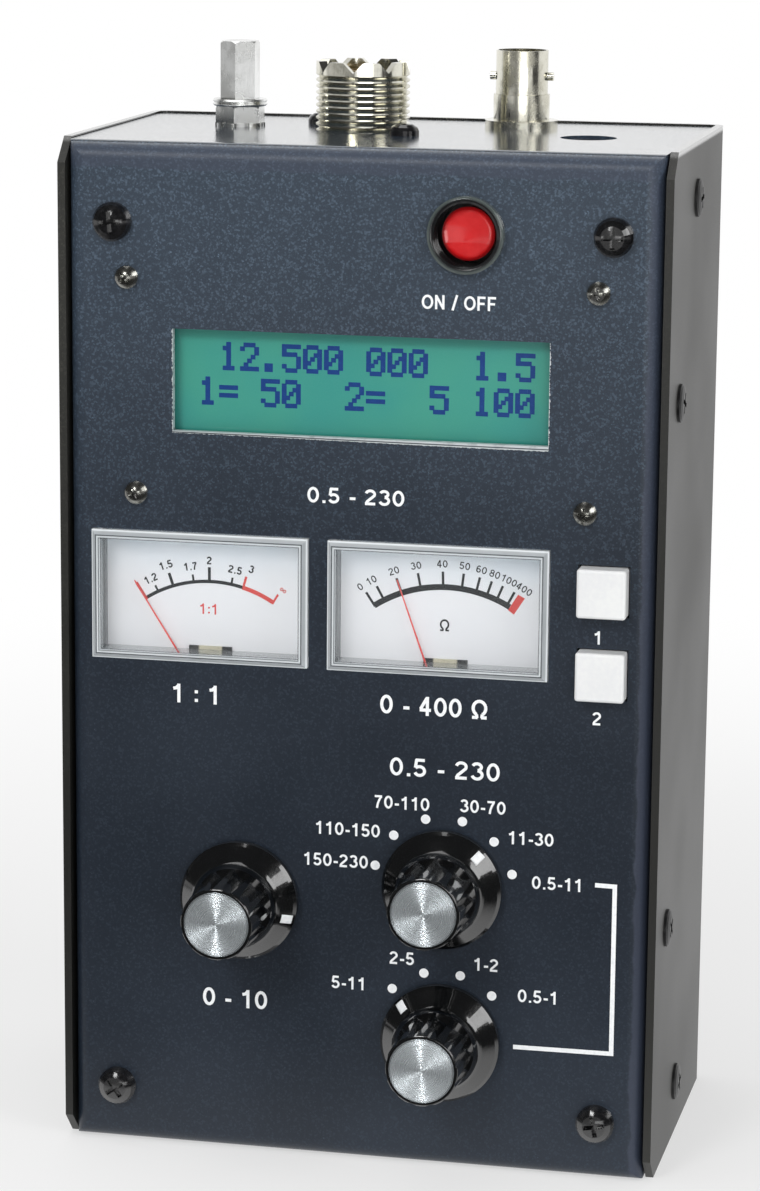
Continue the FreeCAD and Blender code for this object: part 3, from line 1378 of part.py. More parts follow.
def make_battery_tray():
    shell = centred("tray_shell", "0", TRAY_HALF, (TRAY_FRONT, TRAY_BACK),
                    (FLOOR_INSIDE, TRAY_TOP))
    hollow = centred("tray_hollow", "0", f"({TRAY_HALF} - tray_wall)",
                     (f"({TRAY_FRONT} + tray_floor)", TRAY_BACK),
                     (f"({FLOOR_INSIDE} + tray_foot_height)", f"({TRAY_TOP} - tray_wall)"))
    holes = [rod(f"tray_hole_{number}", "Z", (f"{side}tray_screw_span", TRAY_SCREW_Y),
                 (FLOOR_INSIDE, f"({FLOOR_INSIDE} + tray_foot_height)"),
                 "tray_screw_shank + seat_clearance")
             for number, side in enumerate(("-", ""))]
    piece(cut("BatteryTray", shell, hollow, *holes), "battery_tray")
    form = flat_screw_form("TrayScrewForm", "tray_screw_head", "tray_screw_rise",
                           "tray_screw_shank", "tray_screw_length")
    down = Rotation(Vector(1, 0, 0), 180)
    copies = [copy(form, f"tray_screw_{number}", f"{side}tray_screw_span", TRAY_SCREW_Y,
                   CHASSIS_FOOT, down) for number, side in enumerate(("-", ""))]
    piece(group("TrayScrews", copies), "tray_screws")


def make_cells():
    cells = []
    back = f"({TRAY_FRONT} + tray_floor + cell_radius + seat_clearance)"
    for row in range(CELL_ROW_COUNT):
        for column in range(CELL_COLUMN_COUNT):
            across = f"({column - (CELL_COLUMN_COUNT - 1) / 2}) * {CELL_PITCH}"
            foot = f"({CELL_FOOT} + {row} * {CELL_STEP})"
            flipped = column % 2 == 1
            can_foot = f"({foot} + cell_nub_height)" if flipped else foot
            can_top = f"({can_foot} + cell_length)"
            nub = (foot, can_foot) if flipped else (can_top, f"({can_top} + cell_nub_height)")
            name = f"cell_{row}_{column}"
            cells.append(fuse(name,
                              rod(name + "_can", "Z", (across, back), (can_foot, can_top),
                                  "cell_radius"),
                              rod(name + "_nub", "Z", (across, back), nub, "cell_nub_radius")))
    piece(group("BatteryCells", cells), "battery_cells")


# ---------------------------------------------------------------- the whole

def build():
    fill_sheet()
    make_front_panel()
    make_rear_cover()
    make_cover_screws()
    make_front_screws()
    spacers("board_spacers", BOARD_SCREWS, "board_screw_shank", "board_standoff")
    spacers("display_spacers", DISPLAY_SCREWS, "display_screw_shank", "display_standoff")
    make_main_board()
    make_board_parts()
    make_display()
    make_meter("left", "left_meter_middle", "left_needle_turn")
    make_meter("right", "right_meter_middle", "right_needle_turn")
    make_controls()
    make_power_button()
    make_push_button("gate", "gate_height")
    make_push_button("mode", "mode_height")
    make_antenna_socket()
    make_antenna_inside()
    make_counter_socket()
    make_power_jack()
    make_ground_post()
    make_battery_tray()
    make_cells()
    doc.recompute()


def check():
    broken = [item.Name for item in doc.Objects
              if "Invalid" in item.State or "Error" in item.State]
    broken += [item.Label for item in pieces
               if item.Shape.isNull() or not item.Shape.isValid() or not item.Shape.Solids]
    if broken:
        raise RuntimeError("not built: " + ", ".join(broken))


def write():
    os.makedirs("parts", exist_ok=True)
    for item in pieces:
        item.Shape.exportStep(f"parts/{item.Label}.step")
    print(len(pieces), "sub-parts written")


build()
check()
write()
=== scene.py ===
import math

import bpy
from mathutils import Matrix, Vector


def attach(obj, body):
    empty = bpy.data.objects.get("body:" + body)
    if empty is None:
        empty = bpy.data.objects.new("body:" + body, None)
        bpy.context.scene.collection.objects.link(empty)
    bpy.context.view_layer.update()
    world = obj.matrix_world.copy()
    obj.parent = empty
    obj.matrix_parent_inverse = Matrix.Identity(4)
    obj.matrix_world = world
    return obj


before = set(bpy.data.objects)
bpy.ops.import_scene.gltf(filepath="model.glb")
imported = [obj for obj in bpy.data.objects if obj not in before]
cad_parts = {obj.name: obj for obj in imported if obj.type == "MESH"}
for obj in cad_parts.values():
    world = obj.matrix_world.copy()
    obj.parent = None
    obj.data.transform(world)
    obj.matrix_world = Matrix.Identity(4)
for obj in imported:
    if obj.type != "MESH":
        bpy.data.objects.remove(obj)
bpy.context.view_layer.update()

# Handheld antenna analyzer: finishes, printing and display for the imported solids.
# Sizes are millimetres in the part's own frame: X right, Y back, Z up, panel facing -Y.
# A place on the front is its X and Z.
MM = 0.001

# The planes that are drawn on, as Y.
PANEL_FACE = -30.0
GLASS_FACE = -27.28
DIAL_FACE = -23.0

# Each needle's pivot, and the half width, foot and top of a lens.
METERS = {"left": (-26.73, 76.9), "right": (13.53, 76.9)}
LENS_HALF, LENS_FOOT, LENS_TOP = 18.425, 85.3, 107.0

# Each knob's middle, and its pointer's angle clockwise from straight up.
CONTROLS = {"tune": (-19.7, 44.9, 105), "band": (15.0, 49.1, 45), "low_band": (15.0, 22.5, -45)}
POWER = (17.5, 157.85)

# Half width, foot and head of the display's window.
WINDOW = (31.35, 124.0, 140.9)

# Grooves turned into the knob caps.
GROOVES_PER_MM = 30.0
GROOVE_SLOPE = 0.6

# Heights, or distances from the middle, over which a finish changes.
# A painted sheen: sparkle, specks and a lighter colour grow over these two ranges of height.
SPARKLE_AND_SHEEN_RISE = (70.0, 160.0)
PAINTED_SHEEN_RISE = (90.0, 172.0)
TOP_FACE = (170.4, 171.1)
# Painted highlights along the top and right bends.
TOP_BEND_HIGHLIGHT, TOP_BEND_HIGHLIGHT_END = (167.6, 168.1), (171.0, 170.4)
RIGHT_BEND_HIGHLIGHT = (47.6, 48.1)
# Painted shade at the head and sides of the display, and towards the head of the dials.
DISPLAY_HEAD_SHADE = (138.6, 141.2)
DISPLAY_SIDE_SHADE = (29.6, 31.6)
DIAL_HEAD_SHADE = (96.0, 107.5)


# ---------------------------------------------------------------- finishes

def shade(red, green, blue):
    """A colour given as it looks on a screen, 0 to 255."""
    parts = []
    for level in (red, green, blue):
        level /= 255
        parts.append(level / 12.92 if level <= 0.04045 else ((level + 0.055) / 1.055) ** 2.4)
    return (*parts, 1.0)


class Value:
    """A number that varies over a surface; arithmetic on it adds Math nodes."""

    def __init__(self, finish, socket):
        self.finish = finish
        self.socket = socket

    def math(self, operation, first, second=None):
        sockets = {0: first} if second is None else {0: first, 1: second}
        return self.finish.node("Math", {"operation": operation}, sockets)

    def __add__(self, other):
        return self.math("ADD", self, other)

    __radd__ = __add__

    def __sub__(self, other):
        return self.math("SUBTRACT", self, other)

    def __rsub__(self, other):
        return self.math("SUBTRACT", other, self)

    def __mul__(self, other):
        return self.math("MULTIPLY", self, other)

    def __truediv__(self, other):
        return self.math("DIVIDE", self, other)

    def __abs__(self):
        return self.math("ABSOLUTE", self)


class Finish:
    """A node material built up from expressions."""

    def __init__(self, name, kind="material"):
        if kind == "material":
            self.made = bpy.data.materials.new(name)
        else:
            self.made = bpy.data.worlds.new(name)
        self.made.use_nodes = True
        self.tree = self.made.node_tree
        self.tree.nodes.clear()

    def node(self, kind, settings, sockets, out=0):
        made = self.tree.nodes.new("ShaderNode" + kind)
        for name, setting in settings.items():
            if name == "stops":
                self.stops(made, setting)
            else:
                setattr(made, name, setting)
        for name, value in sockets.items():
            if isinstance(value, Value):
                self.tree.links.new(value.socket, made.inputs[name])
            else:
                made.inputs[name].default_value = value
        return Value(self, made.outputs[out]) if made.outputs else made

    def stops(self, made, stops):
        ramp = made.color_ramp
        while len(ramp.elements) < len(stops):
            ramp.elements.new(0.5)
        for element, (where, colour) in zip(ramp.elements, stops):
            element.position = where
            element.color = colour

    def place(self):
        """Where a point is on its piece at rest, in metres, in the part's own frame."""
        return self.node("TexCoord", {}, {}, "Object")

    def axes(self):
        """X, Y and Z of the place, in millimetres."""
        split = self.node("SeparateXYZ", {}, {0: self.place()})
        sockets = split.socket.node.outputs
        return [Value(self, socket) * (1 / MM) for socket in sockets]

    def noise(self, pitch, detail=2.0, rough=0.5, stretch=(1, 1, 1)):
        """Clouds whose blotches are about pitch millimetres wide."""
        where = self.node("Mapping", {}, {"Vector": self.place(), "Scale": stretch})
        return self.node("TexNoise", {}, {"Vector": where, "Scale": 1 / (pitch * MM),
                                          "Detail": detail, "Roughness": rough})

    def cells(self, pitch, feature="F1"):
        return self.node("TexVoronoi", {"feature": feature},
                         {"Vector": self.place(), "Scale": 1 / (pitch * MM)})

    def scatter(self, pitch):
        """A number from 0 to 1 drawn afresh for each cell about pitch millimetres wide."""
        where = {"Vector": self.place(), "Scale": 1 / (pitch * MM)}
        cells = self.node("TexVoronoi", {}, where, "Color")
        return self.node("SeparateColor", {}, {0: cells})

    def rise(self, value, low, high, bottom=0.0, top=1.0):
        """Goes smoothly from bottom to top as the value goes from low to high."""
        return self.node("MapRange", {"interpolation_type": "SMOOTHSTEP"},
                         {"Value": value, "From Min": low, "From Max": high,
                          "To Min": bottom, "To Max": top})

    def blend(self, share, first, second):
        return self.node("Mix", {"data_type": "RGBA"}, {0: share, 6: first, 7: second}, 2)

    def vector(self, operation, first, second=None, out="Vector"):
        name = "Scale" if operation == "SCALE" else 1
        sockets = {0: first} if second is None else {0: first, name: second}
        return self.node("VectorMath", {"operation": operation}, sockets, out)

    def outward(self, middle):
        """How far a point is from an axis along Y, and the way straight out from it."""
        spot = (middle[0] * MM, 0, middle[1] * MM)
        flat = self.vector("MULTIPLY", self.vector("SUBTRACT", self.place(), spot), (1, 0, 1))
        away = self.vector("LENGTH", flat, None, "Value") * (1 / MM)
        return away, self.vector("NORMALIZE", flat)

    def facing(self, lean):
        """The normal of a surface that faces the front but leans over by a vector."""
        slope = self.vector("NORMALIZE", self.vector("ADD", lean, (0, -1, 0)))
        return self.node("VectorTransform", {"vector_type": "NORMAL", "convert_from": "OBJECT",
                                             "convert_to": "WORLD"}, {0: slope})

    def smaller(self, first, second):
        return self.node("Math", {"operation": "MINIMUM"}, {0: first, 1: second})

    def ramp(self, value, stops):
        """The colour and the share, or alpha, that go with a value from 0 to 1."""
        made = self.node("ValToRGB", {"stops": stops}, {"Fac": value})
        return [Value(self, socket) for socket in made.socket.node.outputs]

    def bump(self, height, depth, strength=1.0, under=None):
        """Height 0 to 1 raised by depth millimetres."""
        sockets = {"Height": height, "Distance": depth * MM, "Strength": strength}
        if under is not None:
            sockets["Normal"] = under
        return self.node("Bump", {}, sockets)

    def principled(self, **sockets):
        named = {name.replace("_", " "): value for name, value in sockets.items()}
        return self.node("BsdfPrincipled", {}, named)

    def show(self, shader):
        kind = "OutputMaterial" if isinstance(self.made, bpy.types.Material) else "OutputWorld"
        self.node(kind, {}, {"Surface": shader})
        return self.made


def sheet_paint(name, base, light, specks, bend_highlight, rough, silver_window=False):
    """Baked enamel on folded steel: sparkle and specks, painted sheen up top, painted bend
    highlights.
    """
    paint = Finish(name)
    across, back, up = paint.axes()
    grain = paint.noise(0.2, 2.0, 0.6)
    flakes = paint.rise(paint.scatter(0.3), 0.6, 1.0)
    cloud = paint.noise(38.0, 2.0)
    speck = paint.rise(paint.cells(0.9), 0.14, 0.09)
    chosen = paint.rise(paint.noise(2.4, 1.0), 0.60, 0.66)
    # Painted sheen: sparkle and specks grow stronger towards the top, where the light falls from
    # above.
    upper = paint.rise(up, *SPARKLE_AND_SHEEN_RISE, 0.2, 1.0)
    top = paint.rise(up, *TOP_FACE)
    colour = paint.blend(paint.rise(cloud, 0.3, 0.7), base, light)
    # Painted sheen: the colour lightens towards the top.
    lift = paint.rise(up, *PAINTED_SHEEN_RISE) * 0.1
    colour = paint.blend((flakes * 0.2 + paint.rise(grain, 0.5, 0.8) * 0.12) * upper + lift,
                         colour, specks)
    colour = paint.blend(speck * chosen * upper * 0.45, colour, specks)
    # Painted highlights in ragged bands along the top and right bends.
    wander = paint.noise(5.0, 2.0) * 1.6
    over = paint.rise(up + wander, *TOP_BEND_HIGHLIGHT) * paint.rise(up, *TOP_BEND_HIGHLIGHT_END)
    beside = paint.rise(across + wander, *RIGHT_BEND_HIGHLIGHT)
    colour = paint.blend(over * 0.5, colour, bend_highlight)
    colour = paint.blend(beside * (1 - over) * 0.6, colour, bend_highlight)
    peel = paint.bump(grain, 0.012)
    roughness = paint.rise(cloud + grain, 0.7, 1.3, rough - 0.05, rough + 0.06)
    roughness = roughness * (1 - top * 0.6)
    metallic = 0.0
    if silver_window:
        # The walls of the display's window, worn to bare metal. On the face below it, a painted
        # highlight in the same silver runs along the window's foot, split by a painted dark line.
        half, foot, head = WINDOW
        ragged = paint.rise(paint.noise(0.7, 3.0, 0.7), 0.35, 0.7, -0.16, 0.12)
        below = (foot - up) * (1 / 0.75)
        lip = paint.rise(across, -half, half, 0.45, 1.0)
        groove = paint.rise(abs(below - lip * 0.62), 0.16, 0.08)
        inside = (paint.rise(abs(across) - ragged, half + 0.16, half + 0.10)
                  * paint.rise(below - ragged * 0.5 - lip, 0.06, 0.0)
                  * paint.rise(up, head + 0.02, head - 0.08)
                  * paint.rise(back, PANEL_FACE + 1.35, PANEL_FACE + 1.25))
        bare_and_highlight = inside * paint.rise(paint.noise(1.6), 0.25, 0.45, 0.7, 1.0)
        silver = paint.blend(groove, shade(206, 212, 214), shade(74, 80, 84))
        colour = paint.blend(bare_and_highlight, colour, silver)
        metallic = bare_and_highlight * 0.35
    return paint.show(paint.principled(Base_Color=colour, Roughness=roughness, Metallic=metallic,
                                       Normal=peel, Specular_IOR_Level=0.38,
                                       Coat_Weight=top * (0.8 + flakes * 0.2), Coat_IOR=1.7,
                                       Coat_Roughness=0.15))


def metal(name, base, stained, rough, scratch=0.02, patches=6.0):
    """Plated metal: soft blotches of tarnish and fine scratches."""
    plate = Finish(name)
    blotch = plate.rise(plate.noise(patches, 4.0, 0.6), 0.38, 0.72)
    scratches = plate.noise(0.16, 2.0, 0.6, (1, 1, 0.08))
    colour = plate.blend(blotch * 0.6, base, stained)
    roughness = plate.rise(blotch + scratches, 0.3, 1.5, rough - 0.08, rough + 0.12)
    return plate.show(plate.principled(Base_Color=colour, Roughness=roughness, Metallic=1.0,
                                       Normal=plate.bump(scratches, scratch)))


def spun(name, base, middle):
    """Metal turned on a lathe: fine grooves about the knob's own axis along Y."""
    disc = Finish(name)
    away, out = disc.outward(middle)
    groove = disc.node("Math", {"operation": "FRACT"}, {0: away * GROOVES_PER_MM}) - 0.5
    normal = disc.facing(disc.vector("SCALE", out, groove * GROOVE_SLOPE * 2))
    rings = disc.node("TexNoise", {"noise_dimensions": "1D"},
                      {"W": away, "Scale": 5.0, "Detail": 3.0, "Roughness": 0.7})
    colour = disc.blend(disc.rise(rings, 0.3, 0.7) * 0.2, base, shade(196, 204, 208))
    colour = disc.blend(disc.rise(away, 5.0, 5.4) * 0.5, colour, shade(120, 126, 130))
    return disc.show(disc.principled(Base_Color=colour, Metallic=0.83, Normal=normal,
                                     Roughness=disc.rise(rings, 0.3, 0.7, 0.25, 0.29)))


def moulded(name, base, light, rough, peel=0.02, coat=0.0, pitch=0.8):
    """Moulded plastic: a faint mottle, a soft skin and slight wear."""
    plastic = Finish(name)
    mottle = plastic.noise(pitch, 3.0, 0.6)
    cloud = plastic.noise(7.0, 2.0)
    colour = plastic.blend(plastic.rise(mottle + cloud, 0.7, 1.35), base, light)
    roughness = plastic.rise(cloud, 0.3, 0.7, rough - 0.04, rough + 0.05)
    return plastic.show(plastic.principled(Base_Color=colour, Roughness=roughness,
                                           Normal=plastic.bump(mottle, peel),
                                           Coat_Weight=coat))


def domed(name, base, light, rough, low_spot, high_spot, curve, metallic=0.0):
    """Screw heads at four mirrored spots, each rounded over its own middle."""
    head = Finish(name)
    across, _, up = head.axes()
    halfway = (low_spot[1] + high_spot[1]) / 2
    upper = head.node("Math", {"operation": "GREATER_THAN"}, {0: up, 1: halfway})
    side = head.node("Math", {"operation": "SIGN"}, {0: across})
    aside = abs(across) - upper * (high_spot[0] - low_spot[0]) - low_spot[0]
    above = up - upper * (high_spot[1] - low_spot[1]) - low_spot[1]
    lean = head.node("CombineXYZ", {}, {0: aside * side * curve, 2: above * curve})
    wear = head.rise(head.noise(0.8, 3.0), 0.4, 0.75)
    return head.show(head.principled(Base_Color=head.blend(wear, base, light),
                                     Roughness=head.rise(wear, 0.0, 1.0, rough, rough + 0.08),
                                     Metallic=metallic, Normal=head.facing(lean),
                                     Coat_Weight=1.0, Coat_IOR=1.6))


def rolled(name, base, light, edge, rough, middle, inner, outer, lean_in, lean_out):
    """A glossy ring or cap whose front rolls over from one radius to another."""
    ring = Finish(name)
    away, out = ring.outward(middle)
    lean = ring.vector("SCALE", out, ring.rise(away, inner, outer, lean_in, lean_out))
    mottle = ring.rise(ring.noise(1.4, 3.0), 0.3, 0.7)
    colour = ring.blend(mottle, base, light)
    # A band in the edge colour round the outer edge: a painted highlight on the bezel, painted
    # shade on the button.
    colour = ring.blend(ring.rise(away, outer - 0.7, outer - 0.1) * 0.7, colour, edge)
    return ring.show(ring.principled(Base_Color=colour,
                                     Roughness=ring.rise(mottle, 0.0, 1.0, rough, rough + 0.05),
                                     Normal=ring.facing(lean), Coat_Weight=1.0))


def printed(name, base, worn, rough=0.45):
    """Screen-printed ink, slightly uneven."""
    ink = Finish(name)
    patchy = ink.rise(ink.noise(0.7, 3.0), 0.42, 0.75)
    colour = ink.blend(patchy * 0.5, base, worn)
    return ink.show(ink.principled(Base_Color=colour, Roughness=rough,
                                   Normal=ink.bump(ink.noise(0.3), 0.01)))


def display_face(name):
    """The reflector behind the liquid crystal: green, with painted shade at its head and sides."""
    face = Finish(name)
    across, _, up = face.axes()
    cloud = face.noise(16.0, 2.0)
    grain = face.noise(0.25, 2.0)
    colour = face.blend(face.rise(cloud, 0.3, 0.7), shade(44, 142, 132), shade(54, 148, 130))
    # Painted shade at the head and sides, where the window's edges shade the glass.
    colour = face.blend(face.rise(up, *DISPLAY_HEAD_SHADE) * 0.45, colour, shade(24, 102, 100))
    colour = face.blend(face.rise(abs(across), *DISPLAY_SIDE_SHADE) * 0.35, colour, shade(30, 108, 106))
    colour = face.blend(face.rise(grain, 0.4, 0.8) * 0.12, colour, shade(84, 156, 144))
    return face.show(face.principled(Base_Color=colour, Roughness=0.42, Coat_Weight=0.3,
                                     Coat_Roughness=0.08, Normal=face.bump(grain, 0.004)))


def dial_card(name):
    """White card with painted shade, a little bluer and darker, towards its top."""
    card = Finish(name)
    _, _, up = card.axes()
    grain = card.noise(0.5, 3.0)
    # Painted shade: bluer and darker towards the top.
    colour = card.blend(card.rise(up, *DIAL_HEAD_SHADE), shade(238, 238, 242), shade(212, 224, 235))
    colour = card.blend(card.rise(card.noise(9.0), 0.3, 0.7) * 0.3, colour, shade(241, 240, 242))
    return card.show(card.principled(Base_Color=colour, Roughness=0.6,
                                     Normal=card.bump(grain, 0.008)))


def grey(level, share=1.0):
    return (*shade(level, level + 5, level + 8)[:3], share)


# Colour and share of the lens's rim, from its edge inwards, as parts of RIM_WIDTH: painted
# highlights in the pale bands, painted dark lines in the dark ones.
RIM_WIDTH = 1.6
PAINTED_LENS_RIM = [(0.00, grey(232, 0.95)), (0.10, grey(226, 0.9)), (0.16, grey(176, 0.85)),
            (0.44, grey(168, 0.8)), (0.50, grey(58, 0.85)), (0.58, grey(58, 0.8)),
            (0.63, grey(214, 0.7)), (0.76, grey(205, 0.6)), (0.80, grey(76, 0.7)),
            (0.86, grey(76, 0.6)), (0.91, grey(200, 0.0))]


def clear_lens(name):
    """Clear acrylic: painted highlights and dark lines round its raised plate, a painted sheen on
    its walls.
    """
    clear = Finish(name)
    across, back, up = clear.axes()
    aside = [abs(across - middle) for middle, _ in METERS.values()]
    inward = clear.smaller(LENS_HALF - clear.smaller(*aside),
                           clear.smaller(up - LENS_FOOT, LENS_TOP - up))
    colour, rim = clear.ramp(inward / RIM_WIDTH, PAINTED_LENS_RIM)
    plate = clear.rise(back, PANEL_FACE, PANEL_FACE - 0.3)
    scuff = clear.rise(clear.noise(0.35, 2.0, 0.5, (1, 1, 6)), 0.62, 0.75)
    solid = clear.principled(Base_Color=colour, Roughness=0.12,
                             Normal=clear.bump(clear.noise(1.4, 3.0), 0.01))
    glass = clear.node("BsdfTransparent", {}, {"Color": (0.98, 0.985, 0.985, 1)})
    gloss = clear.node("Fresnel", {}, {"IOR": 1.49})
    path = clear.node("LightPath", {}, {})
    shadow = Value(clear, path.socket.node.outputs["Is Shadow Ray"])
    bounce = Value(clear, path.socket.node.outputs["Is Diffuse Ray"])
    # A painted sheen on the walls: a pale veil that thickens towards the sides.
    wall_sheen = clear.rise(LENS_HALF - clear.smaller(*aside), 1.3, 0.9, 0.08, 0.48)
    share = rim * plate + (1 - plate) * wall_sheen + gloss * 0.6 + scuff * 0.02
    share = share * (1 - shadow) * (1 - bounce)
    return clear.show(clear.node("MixShader", {}, {0: share, 1: glass, 2: solid}))


def movement(name):
    """Dark magnet below, with a cream bridge in its middle."""
    part = Finish(name)
    across, _, _ = part.axes()
    aside = [abs(across - middle) for middle, _ in METERS.values()]
    middle = part.rise(part.smaller(*aside), 2.2, 1.8)
    mottle = part.noise(0.7, 3.0)
    colour = part.blend(middle, shade(26, 27, 29), shade(206, 200, 176))
    colour = part.blend(part.rise(mottle, 0.4, 0.8) * 0.3, colour, shade(120, 118, 110))
    return part.show(part.principled(Base_Color=colour, Roughness=0.4,
                                     Normal=part.bump(mottle, 0.02)))


def knurled_black(name, rough=0.14):
    """Glossy phenolic black with a film of dust and hairline scuffs."""
    knob = Finish(name)
    dust = knob.rise(knob.noise(1.3, 4.0, 0.7), 0.55, 0.85)
    cloud = knob.noise(5.0, 2.0)
    colour = knob.blend(dust * 0.2, shade(7, 8, 9), shade(44, 47, 52))
    roughness = knob.rise(cloud + dust, 0.3, 1.4, rough, rough + 0.16)
    return knob.show(knob.principled(Base_Color=colour, Roughness=roughness,
                                     Normal=knob.bump(knob.noise(0.6), 0.012),
                                     Specular_IOR_Level=0.5, Coat_Weight=1.0, Coat_IOR=1.6))


def board(name, base, trace):
    """Solder mask over copper runs."""
    mask = Finish(name)
    runs = mask.rise(mask.cells(3.2, "DISTANCE_TO_EDGE"), 0.10, 0.05)
    colour = mask.blend(runs * 0.6, base, trace)
    return mask.show(mask.principled(Base_Color=colour, Roughness=0.35,
                                     Normal=mask.bump(runs, 0.03), Coat_Weight=0.3))


FINISHES = [
    (sheet_paint("panel_paint", shade(28, 36, 47), shade(34, 43, 55), shade(122, 144, 166),
                 shade(62, 68, 84), 0.42, True), ["front_panel"]),
    (sheet_paint("cover_paint", shade(30, 30, 28), shade(39, 39, 36), shade(92, 91, 84),
                 shade(44, 44, 42), 0.44), ["rear_cover"]),
    (moulded("black_screw", shade(12, 12, 14), shade(30, 30, 32), 0.16, 0.01, 0.6),
     ["antenna_screws"]),
    (moulded("matt_black_screw", shade(16, 16, 17), shade(40, 40, 40), 0.45, 0.03),
     ["cover_screws", "tray_screws"]),
    (domed("black_pan_head", shade(12, 12, 14), shade(26, 26, 28), 0.12, (41.4, 10.2),
           (41.4, 158.2), 0.24), ["board_screws"]),
    (domed("steel_pan_head", shade(150, 150, 144), shade(96, 94, 88), 0.22, (37.6, 113.4),
           (39.1, 149.1), 0.5, 1.0), ["display_screws"]),
    (metal("nickel", shade(226, 224, 212), shade(188, 184, 162), 0.18, 0.004),
     ["antenna_socket", "counter_socket"]),
    (metal("plated_steel", shade(236, 237, 236), shade(214, 214, 210), 0.24, 0.002),
     ["ground_stud", "ground_nut", "ground_washers", "ground_post", "counter_nut",
      "control_nuts"]),
    (metal("brass_contact", shade(214, 190, 132), shade(160, 136, 88), 0.28),
     ["antenna_contact", "counter_contact"]),
    (moulded("white_insulator", shade(226, 222, 208), shade(238, 236, 226), 0.4),
     ["antenna_insulator", "counter_insulator"]),
    (metal("spacer_metal", shade(200, 200, 196), shade(150, 150, 146), 0.36),
     ["board_spacers", "display_spacers", "tune_shaft", "band_shaft", "low_band_shaft"]),
    (board("board_green", shade(24, 74, 48), shade(44, 108, 70)), ["main_board", "display_board"]),
    (moulded("component_black", shade(24, 24, 25), shade(46, 46, 47), 0.45),
     ["board_parts", "tune_capacitor", "band_switch", "low_band_switch", "power_switch",
      "gate_switch", "mode_switch", "power_jack"]),
    (moulded("meter_shell", shade(206, 209, 210), shade(222, 224, 225), 0.4),
     ["left_meter_case", "right_meter_case"]),
    (display_face("display_green"), ["display_glass"]),
    (moulded("frame_black", shade(26, 28, 30), shade(44, 46, 48), 0.4), ["display_frame"]),
    (clear_lens("meter_clear"), ["left_meter_lens", "right_meter_lens"]),
    (dial_card("dial_white"), ["left_meter_dial", "right_meter_dial"]),
    (movement("movement_metal"), ["left_meter_movement", "right_meter_movement"]),
    (moulded("needle_red", shade(226, 52, 50), shade(240, 96, 90), 0.4),
     ["left_meter_needle", "right_meter_needle"]),
    (knurled_black("knob_black"), ["tune_knob", "band_knob", "low_band_knob"]),
    *[(spun("spun_" + control, shade(224, 231, 235), middle), [control + "_knob_cap"])
      for control, middle in CONTROLS.items()],
    # The third colour is painted at the outer edge: painted shade round the button, a painted
    # highlight on the bezel's rim.
    (rolled("button_red", shade(210, 14, 20), shade(218, 24, 28), shade(150, 14, 20), 0.22,
            POWER, 3.3, 4.4, 0.0, 0.9), ["power_button"]),
    (rolled("bezel_black", shade(12, 12, 14), shade(20, 21, 23), shade(96, 106, 104), 0.16,
            POWER, 5.2, 6.25, -0.9, 0.9), ["power_bezel"]),
    (moulded("button_white", shade(222, 223, 224), shade(228, 229, 228), 0.4),
     ["gate_button", "mode_button"]),
    (moulded("tray_black", shade(26, 26, 27), shade(46, 46, 46), 0.5), ["battery_tray"]),
    (moulded("cell_sleeve", shade(52, 60, 84), shade(70, 80, 110), 0.3, 0.01, 0.3),
     ["battery_cells"]),
]

for finish, names in FINISHES:
    for name in names:
        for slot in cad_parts[name].material_slots:
            slot.material = finish


# ---------------------------------------------------------------- drawing

def bow(middle_x, middle_z, half_x, half_z, start, end, step=15):
    """Points along part of an ellipse, angles in degrees from the right, anticlockwise."""
    count = max(2, int(abs(end - start) / step))
    points = []
    for number in range(count + 1):
        angle = math.radians(start + (end - start) * number / count)
        points.append((middle_x + half_x * math.cos(angle), middle_z + half_z * math.sin(angle)))
    return points


INFINITY = [(0.42 + 0.36 * math.sin(turn), 0.38 + 0.19 * math.sin(2 * turn))
            for turn in [math.tau * number / 32 for number in range(32)]]

# Which strokes of a letter close on themselves.
LOOPS = {"0": (0,), "6": (0,), "8": (0, 1), "O": (0,), "∞": (0,)}

